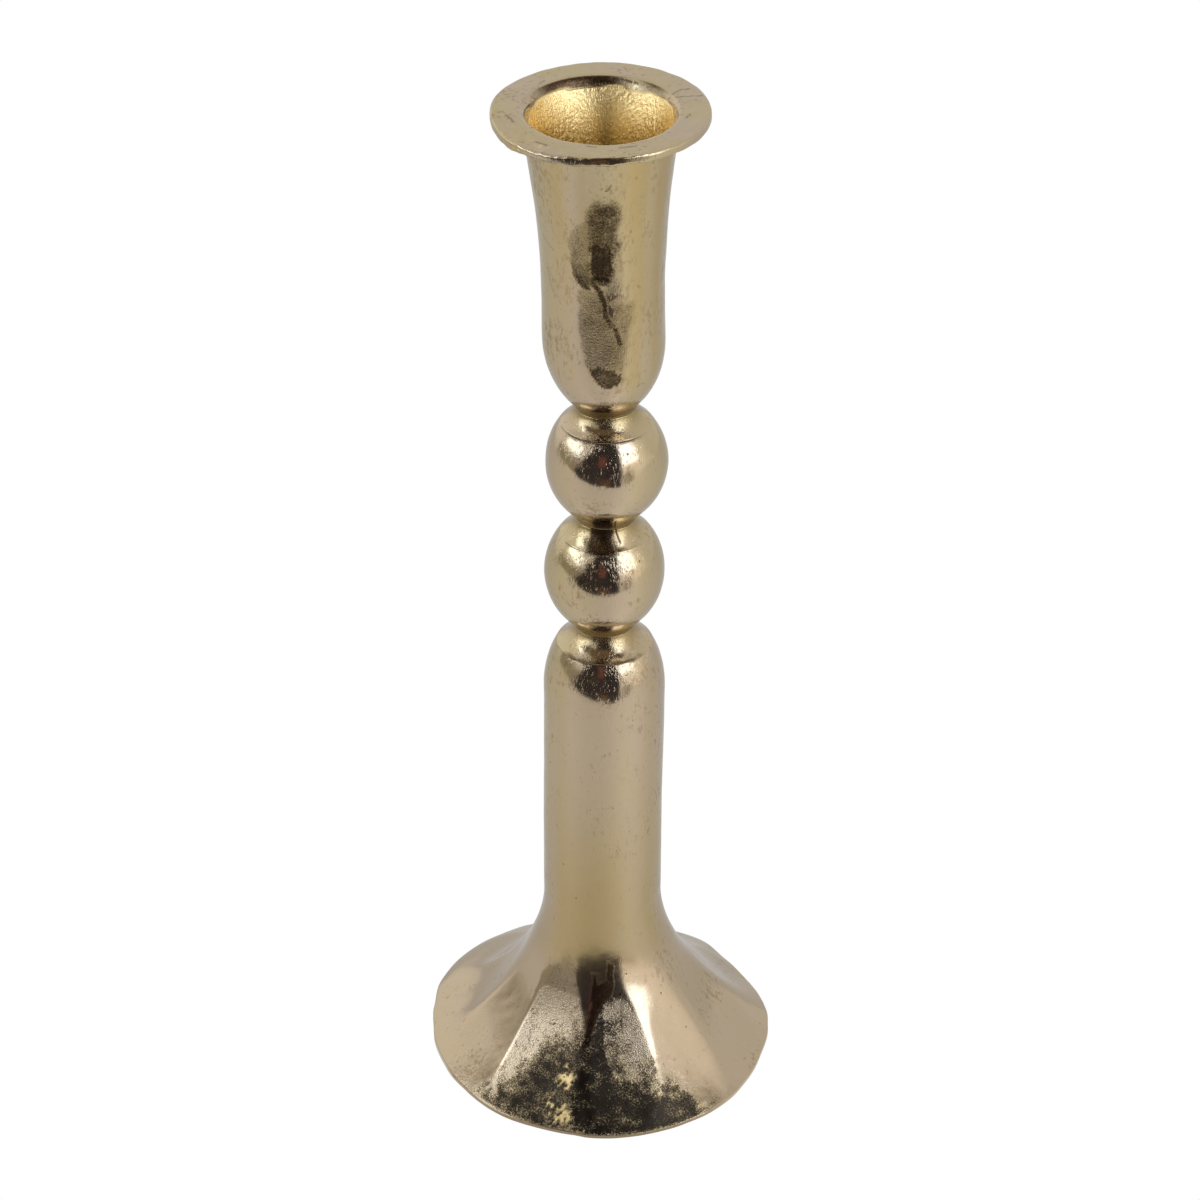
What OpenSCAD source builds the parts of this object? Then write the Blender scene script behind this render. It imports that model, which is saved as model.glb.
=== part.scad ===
// Taper candle holder, in millimetres, +Z up.
// A cast cup and two balls stand on a hollow cast column with a trumpet foot.
// One threaded rod, screwed into the cup, draws them together against a nut inside the column.
// The origin is the middle of the foot, on the table.

/* [Foot] */
// Outside radius of the foot
foot_r = 43; // [36:0.5:54]
// Height at which the column starts to flare into the foot
flare_h = 48; // [38:1:70]
// Height of the foot's edge, under the flare
foot_edge_h = 2; // [1.5:0.25:4]
// Width of the flat ring that the foot stands on
foot_ring_w = 3; // [2:0.1:4]
// Radius that rounds the foot's edge
foot_edge_round = 0.7; // [0.4:0.1:0.9]
// How much lower the flare is inside than outside
flare_drop = 0.7; // [0.3:0.1:1]

/* [Flats beaten into the foot] */
// Depth of the deepest flat, which is under the foot's wall
flat_bite = 1.1; // [0.4:0.1:1.4]
// Height at which the flats begin, under the column
flat_top_h = 33; // [28:0.5:36]
// Height at which the flats end, over the foot's edge
flat_bottom_h = 2.5; // [2.25:0.25:6]

/* [Column] */
// Height of the column's top face
column_h = 126; // [105:1:180]
// Outside radius of the column
column_r = 14.5; // [13:0.25:18]
// Thickness of the column's wall
column_wall = 3; // [2.4:0.1:4]
// Height of the dome on the column's top
dome_h = 18; // [15:0.5:22]
// Radius of the rim of the dome's collar
dome_collar_r = 11.4; // [10.4:0.1:12.4]
// Height of the dome's collar
dome_collar_h = 5.2; // [4:0.1:6.4]
// Thickness of the solid boss under the column's top
boss_t = 12; // [10:0.5:20]
// Radius of the fillet inside the column, under the boss
boss_fillet = 2; // [1:0.25:2.5]

/* [Balls] */
// Distance from one neck to the next
ball_pitch = 29.8; // [26:0.1:36]
// Greatest radius of a ball
ball_r = 14.2; // [12:0.1:17]
// Radius of the rim of a ball's collar
ball_collar_r = 10.6; // [9.8:0.1:11.4]
// Height of a ball's collar
ball_collar_h = 4.4; // [3.4:0.1:5.4]

/* [Necks] */
// Radius of a neck at its narrowest, where two pieces meet
neck_r = 7.2; // [6.6:0.1:8.2]
// Radius of the heel under a rounded piece, where it turns in to the neck
heel_r = 8.6; // [8.4:0.1:9.8]
// Height of the heel's cove above the neck
heel_h = 2.3; // [1.6:0.1:3]
// Radius of the spigot under each upper piece
spigot_r = 5; // [4.4:0.1:5.4]
// Length of a spigot
spigot_l = 2.5; // [1.5:0.1:4]
// Clearance round a spigot
spigot_gap = 0.1; // [0.05:0.05:0.2]
// Clearance past the end of a spigot
spigot_end_gap = 0.5; // [0.2:0.1:1]

/* [Cup] */
// Height of the cup above its neck
cup_h = 74.4; // [66:0.2:96]
// Outside radius of the cup's straight part
cup_r = 14; // [13.5:0.1:17]
// Height of the cup's rounded bottom
cup_bottom_h = 18; // [14:0.5:22]
// Height above the neck at which the cup starts to widen
cup_widen_h = 30; // [24:0.5:36]
// Outside radius of the cup just under its lip
throat_r = 17.5; // [15.5:0.1:19]
// Distance from the throat up to the lip's top
lip_drop = 4.6; // [3.6:0.1:9.6]
// Outside radius of the lip
lip_r = 24.3; // [21:0.1:30]
// Thickness of the lip at its edge
lip_edge_t = 2; // [1.4:0.1:3]
// Radius that rounds the lip's edge
lip_edge_round = 0.7; // [0.3:0.1:0.9]
// Radius of the mouth at the lip's top
mouth_r = 17; // [14:0.1:20]
// Radius that rounds the mouth's edge
mouth_round = 2; // [0.8:0.1:2.5]

/* [Candle seat] */
// Radius of the bore that holds the candle
seat_r = 11.25; // [10:0.05:11.5]
// Length of the bore that holds the candle
seat_l = 24; // [16:0.5:26]
// Depth of the funnel above the bore
funnel_h = 22; // [16:0.5:24]

/* [Rod and its fixings] */
// Radius of the threaded rod
rod_r = 3; // [2.5:0.1:3.5]
// Clearance of the rod in the balls and the column
rod_gap = 0.25; // [0.1:0.05:0.4]
// Clearance of a threaded hole's plain bore round the rod
thread_gap = 0.05; // [0.02:0.01:0.1]
// Length of rod screwed into the cup
rod_grip = 14; // [10:0.5:16]
// Depth of the threaded hole past the rod's end
tap_run = 2; // [1:0.5:3]
// Length of rod that stands out under the nut
rod_tail = 3; // [1:0.5:6]
// Chamfer on the rod's ends
rod_chamfer = 0.8; // [0.4:0.1:1.2]
// Clearance between the flat washer's rim and the fillet round it
washer_rim_gap = 0.5; // [0.25:0.05:1.5]
// Thickness of the flat washer
washer_t = 1.6; // [1:0.1:2.5]
// Clearance of the washers round the rod
washer_gap = 0.2; // [0.1:0.05:0.4]
// Width of the spring washer's wire
spring_w = 2.6; // [2:0.1:3]
// Thickness of the spring washer's wire
spring_t = 1.6; // [1.2:0.1:2]
// Width of the split in the spring washer
spring_split = 1.2; // [0.8:0.1:2]
// Width of the nut across its flats
nut_flats = 10; // [9.5:0.1:11.5]
// Height of the nut
nut_h = 5; // [4:0.25:7]
// Height of the chamfer on the nut's corners
nut_chamfer = 0.5; // [0.2:0.05:0.8]

/* [Hidden] */
$fn = 96;

overrun = 1;                    // how far a cut runs past the surface it goes through
flare_steps = 24;               // straight steps along the flare
curve_steps = 14;               // straight steps along any other curve
corner_steps = 5;               // straight steps round a corner

cast_colour = [0.78, 0.70, 0.52];
steel_colour = [0.62, 0.63, 0.65];

bore_r = rod_r + rod_gap;
tap_r = rod_r + thread_gap;
socket_r = spigot_r + spigot_gap;
socket_d = spigot_l + spigot_end_gap;
cavity_r = column_r - column_wall;
ball_half = ball_pitch / 2;

lower_ball_z = column_h + ball_half;
upper_ball_z = lower_ball_z + ball_pitch;
cup_z = upper_ball_z + ball_half;

washer_r = cavity_r - boss_fillet - washer_rim_gap;
washer_z = column_h - boss_t - washer_t;
spring_z = washer_z - spring_t;
nut_z = spring_z - nut_h;
rod_bottom_z = nut_z - rod_tail;
rod_top_z = cup_z + rod_grip;

// Hand work: how far each flat is turned from its even place, its depth and its top, as shares.
flat_turn_shares = [-0.4, -0.2, -0.3, -0.15, -0.1, -0.3, -0.25, -0.25, -0.25, -0.36];
flat_bite_shares = [0.95, 0.9, 1, 0.8, 0.9, 0.96, 1, 0.94, 0.9, 0.72];
flat_top_shares = [1, 0.92, 1.04, 0.96, 1.02, 0.94, 1, 0.98, 1.03, 0.86];
// The heel of the lip's underside, as shares of the way from the throat to the lip's edge.
lip_heel_shares = [0.03, 0.32];
// The bend of a collar or a heel, as shares of its width and height, out of the neck and away from it.
neck_bend_shares = [0.04, 0.2];

// Points of a corner at b between a and c, rounded to radius r.
function corner(a, b, c, r) =
    let (
        to_a = (a - b) / norm(a - b),
        to_c = (c - b) / norm(c - b),
        half_angle = acos(to_a * to_c) / 2,
        middle = (to_a + to_c) / norm(to_a + to_c),
        centre = b + middle * r / sin(half_angle),
        first = b + to_a * r / tan(half_angle) - centre,
        sweep = 180 - 2 * half_angle,
        way = first[0] * (b - centre)[1] - first[1] * (b - centre)[0] > 0 ? 1 : -1
    )
    [for (i = [0 : corner_steps])
        let (turn = way * sweep * i / corner_steps)
        centre + [
            first[0] * cos(turn) - first[1] * sin(turn),
            first[0] * sin(turn) + first[1] * cos(turn)
        ]];

// Points of a quadratic curve from a to c that leaves and arrives towards b.
function bend(a, b, c) =
    [for (i = [0 : curve_steps])
        let (t = i / curve_steps)
        (1 - t) * (1 - t) * a + 2 * t * (1 - t) * b + t * t * c];

// Outline of a bulge of radius r, from its waist at height 0 to the neck at height reach:
// an ellipse up to the rim of the collar or heel, then a hollow curve in to the neck.
function bulge(r, reach, rim_r, rim_h) =
    let (
        last = acos(rim_r / r),
        half_h = (reach - rim_h) / sin(last),
        elbow = [neck_r + (rim_r - neck_r) * neck_bend_shares[0], reach - rim_h * neck_bend_shares[1]],
        hollow = bend([rim_r, reach - rim_h], elbow, [neck_r, reach])
    )
    concat(
        [for (i = [0 : curve_steps])
            let (a = last * i / curve_steps)
            [r * cos(a), half_h * sin(a)]],
        [for (i = [1 : curve_steps]) hollow[i]]
    );

function raised(points, z) = [for (p = points) p + [0, z]];
function upside_down(points) = [for (i = [len(points) - 1 : -1 : 0]) [points[i][0], -points[i][1]]];
function backwards(points) = [for (i = [len(points) - 1 : -1 : 0]) points[i]];

// A point of the flare, t from 0 at the column to 1 at the foot's edge, moved in and down.
function flare_point(t, in, down) = [
    column_r - in + (foot_r - column_r) * t * t,
    flare_h - down - (flare_h - foot_edge_h) * t
];

// The flare inside the foot ends where it meets the back of the standing ring.
inner_flare_end = sqrt((foot_r - foot_ring_w - cavity_r) / (foot_r - column_r));

// The direction square to the flare at t, outwards.
function flare_normal(t) =
    let (slope = 2 * (foot_r - column_r) * t / (flare_h - foot_edge_h))
    [1, slope] / norm([1, slope]);

module foot_profile() {
    outer_flare = [for (i = [1 : flare_steps - 1]) flare_point(i / flare_steps, 0, 0)];
    inner_flare = [for (i = [0 : flare_steps])
        flare_point(inner_flare_end * i / flare_steps, column_wall, flare_drop)];
    ring_in = [foot_r - foot_ring_w, 0];
    ring_out = [foot_r, 0];
    edge_top = [foot_r, foot_edge_h];
    boss_z = column_h - boss_t;

    polygon(concat(
        [[bore_r, column_h - socket_d], [socket_r, column_h - socket_d], [socket_r, column_h]],
        backwards(raised(bulge(column_r, dome_h, dome_collar_r, dome_collar_h), column_h - dome_h)),
        [[column_r, flare_h]],
        outer_flare,
        corner(outer_flare[flare_steps - 2], edge_top, ring_out, foot_edge_round),
        corner(edge_top, ring_out, ring_in, foot_edge_round),
        [ring_in],
        backwards(inner_flare),
        corner([cavity_r, flare_h], [cavity_r, boss_z], [bore_r, boss_z], boss_fillet),
        [[bore_r, boss_z]]
    ));
}

// How far down the flare a height lies, as t.
function flare_t(h) = (flare_h - h) / (flare_h - foot_edge_h);

// The tool that makes one flat: a slice of a barrel that lies across the flare. Its round side
// meets the flare at the flat's two ends, and is sunk into it by the bite halfway between them.
module flat_tool(bite, top_h) {
    upper = flare_point(flare_t(top_h), 0, 0);
    lower = flare_point(flare_t(flat_bottom_h), 0, 0);
    middle_t = flare_t((top_h + flat_bottom_h) / 2);
    deepest = flare_point(middle_t, 0, 0) - flare_normal(middle_t) * bite;
    along = (upper - lower) / norm(upper - lower);
    outwards = [along[1], -along[0]];
    sag = ((upper + lower) / 2 - deepest) * outwards;
    barrel_r = (pow(norm(upper - lower) / 2, 2) + sag * sag) / (2 * sag);
    centre = (upper + lower) / 2 + outwards * (barrel_r - sag);
    rotate([90, 0, 0])
        linear_extrude(foot_r, center = true)
            translate(centre)
                rotate(atan2(-outwards[1], -outwards[0]))
                    intersection() {
                        circle(r = barrel_r, $fn = 4 * $fn);
                        translate([barrel_r - sag - overrun, -barrel_r])
                            square([sag + 2 * overrun, 2 * barrel_r]);
                    }
}

module column_foot() {
    count = len(flat_bite_shares);
    color(cast_colour) difference() {
        rotate_extrude() foot_profile();
        for (i = [0 : count - 1])
            rotate([0, 0, 360 * (i + flat_turn_shares[i]) / count])
                flat_tool(flat_bite * flat_bite_shares[i], flat_top_h * flat_top_shares[i]);
    }
}

// Outline of a ball's rounded side from neck to neck, with its middle at height 0.
function ball_side() =
    let (
        upper = bulge(ball_r, ball_half, ball_collar_r, ball_collar_h),
        lower = bulge(ball_r, ball_half, heel_r, heel_h)
    )
    concat(upside_down(lower), [for (i = [1 : len(upper) - 1]) upper[i]]);

module ball() {
    rotate_extrude() polygon(concat(
        [[bore_r, -ball_half - spigot_l], [spigot_r, -ball_half - spigot_l], [spigot_r, -ball_half]],
        ball_side(),
        [[socket_r, ball_half], [socket_r, ball_half - socket_d], [bore_r, ball_half - socket_d]]
    ));
}

module lower_ball() {
    color(cast_colour) translate([0, 0, lower_ball_z]) ball();
}

module upper_ball() {
    color(cast_colour) translate([0, 0, upper_ball_z]) ball();
}

module cup_profile() {
    throat = [throat_r, cup_h - lip_drop];
    lip_under = [lip_r, cup_h - lip_edge_t];
    lip_top = [lip_r, cup_h];
    mouth = [mouth_r, cup_h];
    seat_top_z = cup_h - funnel_h;
    seat_floor_z = seat_top_z - seat_l;
    tap_top_z = rod_grip + tap_run;
    widen_h = throat[1] - cup_widen_h;

    bottom = raised(upside_down(bulge(cup_r, cup_bottom_h, heel_r, heel_h)), cup_bottom_h);
    side = [for (i = [0 : curve_steps])
        let (t = i / curve_steps)
        [cup_r + (throat_r - cup_r) * t * t, cup_widen_h + widen_h * t]];
    heel = throat + [
        (lip_under - throat)[0] * lip_heel_shares[0],
        (lip_under - throat)[1] * lip_heel_shares[1]
    ];
    underside = bend(throat, heel, lip_under);
    funnel = [for (i = [0 : curve_steps])
        let (t = i / curve_steps)
        [seat_r + (mouth_r - seat_r) * t * t, seat_top_z + funnel_h * t]];

    polygon(concat(
        [[0, tap_top_z], [tap_r, tap_top_z], [tap_r, -spigot_l], [spigot_r, -spigot_l], [spigot_r, 0]],
        bottom,
        side,
        [for (i = [1 : curve_steps - 1]) underside[i]],
        corner(underside[curve_steps - 1], lip_under, lip_top, lip_edge_round),
        corner(lip_under, lip_top, mouth, lip_edge_round),
        corner(lip_top, mouth, funnel[curve_steps - 1], mouth_round),
        backwards([for (i = [0 : curve_steps - 3]) funnel[i]]),
        [[seat_r, seat_floor_z], [0, seat_floor_z]]
    ));
}

module candle_cup() {
    color(cast_colour) translate([0, 0, cup_z]) rotate_extrude() cup_profile();
}

module tie_rod() {
    color(steel_colour) rotate_extrude() polygon([
        [0, rod_bottom_z],
        [rod_r - rod_chamfer, rod_bottom_z],
        [rod_r, rod_bottom_z + rod_chamfer],
        [rod_r, rod_top_z - rod_chamfer],
        [rod_r - rod_chamfer, rod_top_z],
        [0, rod_top_z]
    ]);
}

module ring(inner_r, outer_r, h) {
    difference() {
        cylinder(r = outer_r, h = h);
        translate([0, 0, -overrun]) cylinder(r = inner_r, h = h + 2 * overrun);
    }
}

module flat_washer() {
    color(steel_colour) translate([0, 0, washer_z]) ring(rod_r + washer_gap, washer_r, washer_t);
}

module spring_washer() {
    inner_r = rod_r + washer_gap;
    color(steel_colour) translate([0, 0, spring_z]) difference() {
        ring(inner_r, inner_r + spring_w, spring_t);
        translate([0, -spring_split / 2, -overrun])
            cube([inner_r + spring_w + overrun, spring_split, spring_t + 2 * overrun]);
    }
}

module clamp_nut() {
    corner_r = nut_flats / 2 / cos(30);
    flats_r = nut_flats / 2;
    color(steel_colour) translate([0, 0, nut_z]) difference() {
        intersection() {
            cylinder(r = corner_r, h = nut_h, $fn = 6);
            rotate_extrude() polygon([
                [0, 0],
                [flats_r, 0],
                [corner_r + overrun, nut_chamfer * (corner_r + overrun - flats_r) / (corner_r - flats_r)],
                [corner_r + overrun, nut_h - nut_chamfer * (corner_r + overrun - flats_r) / (corner_r - flats_r)],
                [flats_r, nut_h],
                [0, nut_h]
            ]);
        }
        translate([0, 0, -overrun]) cylinder(r = tap_r, h = nut_h + 2 * overrun);
    }
}

column_foot();
lower_ball();
upper_ball();
candle_cup();
tie_rod();
flat_washer();
spring_washer();
clamp_nut();
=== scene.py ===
"""Looks of the taper candle holder: four hand-finished brass castings and the steel rod inside them."""

import math
from collections import namedtuple

import bpy
import numpy as np
from bpy.props import FloatProperty, FloatVectorProperty, PointerProperty
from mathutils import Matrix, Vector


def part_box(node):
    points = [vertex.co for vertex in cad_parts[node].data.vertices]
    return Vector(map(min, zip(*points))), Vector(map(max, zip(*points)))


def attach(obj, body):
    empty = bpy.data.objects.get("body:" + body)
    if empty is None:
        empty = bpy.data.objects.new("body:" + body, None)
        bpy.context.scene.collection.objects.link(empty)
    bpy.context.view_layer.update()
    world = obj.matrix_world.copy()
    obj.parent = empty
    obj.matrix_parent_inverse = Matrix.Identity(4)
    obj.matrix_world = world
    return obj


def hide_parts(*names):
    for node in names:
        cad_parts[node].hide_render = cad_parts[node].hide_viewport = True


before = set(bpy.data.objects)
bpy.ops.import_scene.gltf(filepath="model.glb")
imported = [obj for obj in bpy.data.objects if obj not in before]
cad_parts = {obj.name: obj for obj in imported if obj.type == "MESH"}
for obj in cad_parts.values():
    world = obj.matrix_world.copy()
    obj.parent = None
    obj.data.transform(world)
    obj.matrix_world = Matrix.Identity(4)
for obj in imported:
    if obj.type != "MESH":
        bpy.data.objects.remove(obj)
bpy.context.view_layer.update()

bl_info = {
    "name": "Taper Candle Holder",
    "version": (1, 0, 0),
    "blender": (4, 5, 0),
    "location": "3D View > Sidebar > Candle Holder",
    "description": "Builds the castings, fixings, studio and camera of a taper candle holder",
    "category": "Add Mesh",
}

MM = 0.001
BODY = "root"


def top_of(node):
    """Height of a CAD node's top, in metres."""
    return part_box(node)[1].z


def reach_of(node):
    """Greatest distance of a CAD node from the axis along +X, in metres."""
    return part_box(node)[1].x


def length_property(name, description, metres):
    """A property that holds a length."""
    return FloatProperty(name=name, description=description, default=metres, unit="LENGTH", precision=5)


def colour_property(name, description, rgb):
    """A property that holds a colour."""
    return FloatVectorProperty(
        name=name, description=description, default=rgb, size=3, subtype="COLOR", min=0, max=1
    )


def share_property(name, description, share):
    """A property that holds a share from 0 to 1."""
    return FloatProperty(name=name, description=description, default=share, min=0, max=1, subtype="FACTOR")


def place_property(name, description, place):
    """A property that holds a place."""
    return FloatVectorProperty(
        name=name, description=description, default=place, size=3, subtype="TRANSLATION", unit="LENGTH"
    )


def angle_property(name, description, degrees):
    """A property that holds an angle."""
    return FloatProperty(name=name, description=description, default=math.radians(degrees), subtype="ANGLE")


class HolderSizes(bpy.types.PropertyGroup):
    """Sizes of the castings: the CAD model's, but for the mouth's edge, which is worn rounder."""

    foot_r: length_property("Foot radius", "Outside radius of the foot", reach_of("column_foot"))
    flare_h: length_property("Flare height", "Height at which the column starts to flare", 48 * MM)
    foot_edge_h: length_property("Foot edge height", "Height of the foot's edge", 2 * MM)
    foot_ring_w: length_property("Foot ring width", "Width of the ring that the foot stands on", 3 * MM)
    foot_edge_round: length_property("Foot edge round", "Radius that rounds the foot's edge", 0.7 * MM)
    flare_drop: length_property("Flare drop", "How much lower the flare is inside", 0.7 * MM)
    flat_bottom_h: length_property("Flat bottom", "Height at which the beaten flats end", 2.5 * MM)
    column_h: length_property("Column height", "Height of the column's top face", top_of("column_foot"))
    column_r: length_property("Column radius", "Outside radius of the column", 14.5 * MM)
    column_wall: length_property("Column wall", "Thickness of the column's wall", 3 * MM)
    dome_h: length_property("Dome height", "Height of the dome on the column's top", 18 * MM)
    dome_collar_r: length_property("Dome collar radius", "Radius of the rim of the dome's collar", 11.4 * MM)
    dome_collar_h: length_property("Dome collar height", "Height of the dome's collar", 5.2 * MM)
    boss_t: length_property("Boss thickness", "Thickness of the boss under the column's top", 12 * MM)
    boss_fillet: length_property("Boss fillet", "Radius of the fillet under the boss", 2 * MM)
    ball_r: length_property("Ball radius", "Greatest radius of a ball", reach_of("upper_ball"))
    ball_collar_r: length_property("Ball collar radius", "Radius of the rim of a ball's collar", 10.6 * MM)
    ball_collar_h: length_property("Ball collar height", "Height of a ball's collar", 4.4 * MM)
    neck_r: length_property("Neck radius", "Radius where two castings meet", 7.2 * MM)
    heel_r: length_property("Heel radius", "Radius where a bulge turns in to the neck under it", 8.6 * MM)
    heel_h: length_property("Heel height", "Height of the heel's cove above the neck", 2.3 * MM)
    spigot_r: length_property("Spigot radius", "Radius of the spigot under a casting", 5 * MM)
    spigot_l: length_property("Spigot length", "Length of the spigot", 2.5 * MM)
    spigot_gap: length_property("Spigot clearance", "Clearance round a spigot", 0.1 * MM)
    spigot_end_gap: length_property("Spigot end clearance", "Clearance past a spigot's end", 0.5 * MM)
    bore_r: length_property("Bore radius", "Radius of the bore round the rod", 3.25 * MM)
    tap_r: length_property("Tap radius", "Radius of the tapped hole in the cup", 3.05 * MM)
    tap_l: length_property("Tap length", "Depth of the tapped hole above the neck", 16 * MM)
    cup_h: length_property("Cup height", "Height of the cup above its neck", 74.4 * MM)
    cup_r: length_property("Cup radius", "Outside radius of the cup's straight part", 14 * MM)
    cup_bottom_h: length_property("Cup bottom", "Height of the cup's rounded bottom", 18 * MM)
    cup_widen_h: length_property("Cup widening", "Height at which the cup starts to widen", 30 * MM)
    throat_r: length_property("Throat radius", "Outside radius just under the lip", 17.5 * MM)
    lip_drop: length_property("Lip drop", "Distance from the throat up to the lip's top", 4.6 * MM)
    lip_r: length_property("Lip radius", "Outside radius of the lip", reach_of("candle_cup"))
    lip_edge_t: length_property("Lip thickness", "Thickness of the lip at its edge", 2 * MM)
    lip_edge_round: length_property("Lip edge round", "Radius that rounds the lip's edge", 0.7 * MM)
    mouth_r: length_property("Mouth radius", "Radius of the mouth at the lip's top", 17 * MM)
    mouth_round: length_property("Mouth round", "Radius of the mouth's worn edge", 2.4 * MM)
    seat_r: length_property("Seat radius", "Radius of the bore that holds the candle", 11.25 * MM)
    seat_l: length_property("Seat length", "Length of the bore that holds the candle", 24 * MM)
    funnel_h: length_property("Funnel depth", "Depth of the funnel above the bore", 22 * MM)


class HolderFinish(bpy.types.PropertyGroup):
    """Colours and roughness of the finishes."""

    champagne: colour_property("Champagne", "Plated brass, the paler part", (0.54, 0.43, 0.305))
    straw: colour_property("Straw", "Plated brass, the yellower part", (0.54, 0.44, 0.26))
    old_gold: colour_property("Old gold", "Brass where the plating is thin", (0.50, 0.375, 0.175))
    gold: colour_property("Gold", "Bare cast brass inside the cup", (0.93, 0.715, 0.34))
    raw: colour_property("Raw casting", "Unpolished casting under the foot", (0.36, 0.28, 0.16))
    # The tarnish and grime colours also paint shade under creases and in the mouth, and dark reflections on
    # the castings' fronts.
    tarnish_and_painted_shade: colour_property("Tarnish", "Pits and dark marks", (0.072, 0.040, 0.020))
    grime_and_painted_shade: colour_property("Grime", "Dark crust on the foot's front", (0.033, 0.026, 0.019))
    speck: colour_property("Specks", "Tint of the fine specks in the plating", (0.55, 0.45, 0.36))
    steel: colour_property("Steel", "Zinc plated steel", (0.62, 0.63, 0.65))
    spangle: colour_property("Spangle", "Tint of the zinc's spangle", (0.5, 0.47, 0.4))
    satin: share_property("Satin roughness", "Roughness of the polished brass", 0.15)
    grain: share_property("Grain roughness", "Roughness of the unpolished brass", 0.40)


class HolderStudio(bpy.types.PropertyGroup):
    """Where the camera stands and how the studio is lit."""

    eye: place_property(
        "Camera place", "Where the photograph was taken from", (-0.36 * MM, -754.6 * MM, 621.8 * MM)
    )
    pitch: angle_property("Camera pitch", "How far the camera looks down", 33.06)
    lens: FloatProperty(name="Focal length", description="In millimetres on a 36 mm sensor", default=113.88)
    rise: FloatProperty(name="Camera shift", description="Vertical shift of the frame", default=0.003875)
    table_front: length_property("Table front", "Distance of the table's front edge", 0.35)
    table_far: length_property("Table reach", "How far the table runs to the sides and behind", 1.5)
    table_glow: share_property("Table reflection", "How bright the table is in the metal", 0.8)
    room_light: share_property("Room light", "How bright the world shines on what isn't metal", 0.75)
    tent_r: length_property("Tent radius", "Radius of the light tent", 1.6)
    tent_h: length_property("Tent height", "Height of the light tent's middle", 0.13)
    lamp_power: FloatProperty(name="Soft box power", description="In watts", default=3.5)
    lamp_size: length_property("Soft box size", "Side of each soft box", 0.7)
    lamp_place: place_property("Soft box place", "Place of the right soft box", (0.9, -0.5, 1.1))
    lamp_tilt: angle_property("Soft box tilt", "How far the soft boxes face back", 27)
    lamp_turn: angle_property("Soft box turn", "How far the soft boxes face inwards", 38)


def smooth(a, b, x):
    """Smooth step: 0 at a and before it, 1 at b and past it, where b may also be the lower one."""
    t = np.clip((x - a) / (b - a), 0, 1)
    return t * t * (3 - 2 * t)


def hump(x, width):
    """Bell curve: 1 where x is 0, and about a third one width to either side of it."""
    return np.exp(-(x / width) ** 2)


def turned_from(turn, centre):
    """Difference of two directions, in degrees from -180 to 180."""
    return (turn - centre + 180) % 360 - 180


def ripple(points, length, seed, count=18):
    """Smooth random height from about -1 to 1. It is the sum of cosine waves that run in drawn
    directions, each with its own phase and a wavelength near the given length."""
    draw = np.random.default_rng(seed)
    way = draw.normal(size=(count, 3))
    way /= np.linalg.norm(way, axis=1, keepdims=True)
    way *= (2 * np.pi / (length * draw.uniform(0.75, 1.4, count)))[:, None]
    phase = draw.uniform(0, 2 * np.pi, count)
    total = np.zeros(points.shape[:-1])
    for i in range(count):
        total += np.cos(points @ way[i] + phase[i])
    return total / math.sqrt(count)


def stroke(points, count):
    """Points spread evenly along a polyline, with its last point left to the next stroke."""
    points = np.array(points, float)
    steps = np.linalg.norm(np.diff(points[:, :2], axis=0), axis=1)
    run = np.concatenate([[0], np.cumsum(steps)])
    at = np.linspace(0, run[-1], count, endpoint=False)
    return np.stack([np.interp(at, run, column) for column in points.T], axis=1)


def curve(function, count=40):
    """Points of a function of t, from 0 to 1."""
    return np.stack([np.array(function(t), float) for t in np.linspace(0, 1, count)])


def bend(a, b, c):
    """Quadratic curve from a to c that leaves and arrives towards b."""
    a, b, c = np.array(a), np.array(b), np.array(c)
    return curve(lambda t: (1 - t) ** 2 * a + 2 * t * (1 - t) * b + t * t * c)


def rounded(a, b, c, radius):
    """A corner at b between a and c, cut off at the same distance each way and bent round."""
    a, b, c = np.array(a), np.array(b), np.array(c)
    to_a = (a - b) / np.linalg.norm(a - b)
    to_c = (c - b) / np.linalg.norm(c - b)
    half_angle = math.acos(np.clip(to_a @ to_c, -1, 1)) / 2
    cut = radius / math.tan(half_angle)
    return bend(b + to_a * cut, b, b + to_c * cut)


# A bulge runs in from its rim over a belly and a knee to its neck. Belly and knee lie these shares of
# the rim's width in from it and of its height down from the neck's end. The curve turns upright at the
# third share of that height.
BELLY, KNEE, NECK_BEND = (0.48, 0.69), (0.75, 0.42), 0.17
NECK_BEVEL = 0.09 * MM
# A crease's step stands out by a share of its height, and its corner lies a share of it over the rim.
CREASE_OUT, CREASE_CORNER = 0.35, 0.1


def bulge(size, radius, reach, rim_r, rim_h, crease=0.0):
    """Outline of a bulge from its waist at height 0 to the neck at the height of its reach: an
    ellipse up to the rim, an upright step of the crease's height there, then a slightly hollow cone
    in to a short upright neck, whose end is bevelled where it meets the next casting."""
    last = math.acos(rim_r / radius)
    half_h = (reach - rim_h) / math.sin(last)
    side = curve(lambda t: (radius * math.cos(last * t), half_h * math.sin(last * t)), 60)
    width, rim_z = rim_r - size.neck_r, reach - rim_h
    belly = (rim_r - width * BELLY[0], reach - rim_h * BELLY[1])
    knee = (rim_r - width * KNEE[0], reach - rim_h * KNEE[1])
    edge_r = rim_r + crease * CREASE_OUT
    corner = [(edge_r, rim_z + crease * CREASE_CORNER)] if crease else []
    hollow = np.vstack([
        np.reshape(corner, (-1, 2)),
        bend((edge_r, rim_z + crease), belly, knee)[:-1],
        bend(knee, (size.neck_r, reach - rim_h * NECK_BEND), (size.neck_r, reach - NECK_BEVEL)),
        [(size.neck_r - NECK_BEVEL, reach)],
    ])
    return side, hollow


def raised(points, height):
    """The same outline, higher."""
    return points + np.array([0, height])


def flipped(points):
    """The same outline upside down, in the other order."""
    return points[::-1] * np.array([1, -1])


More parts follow.
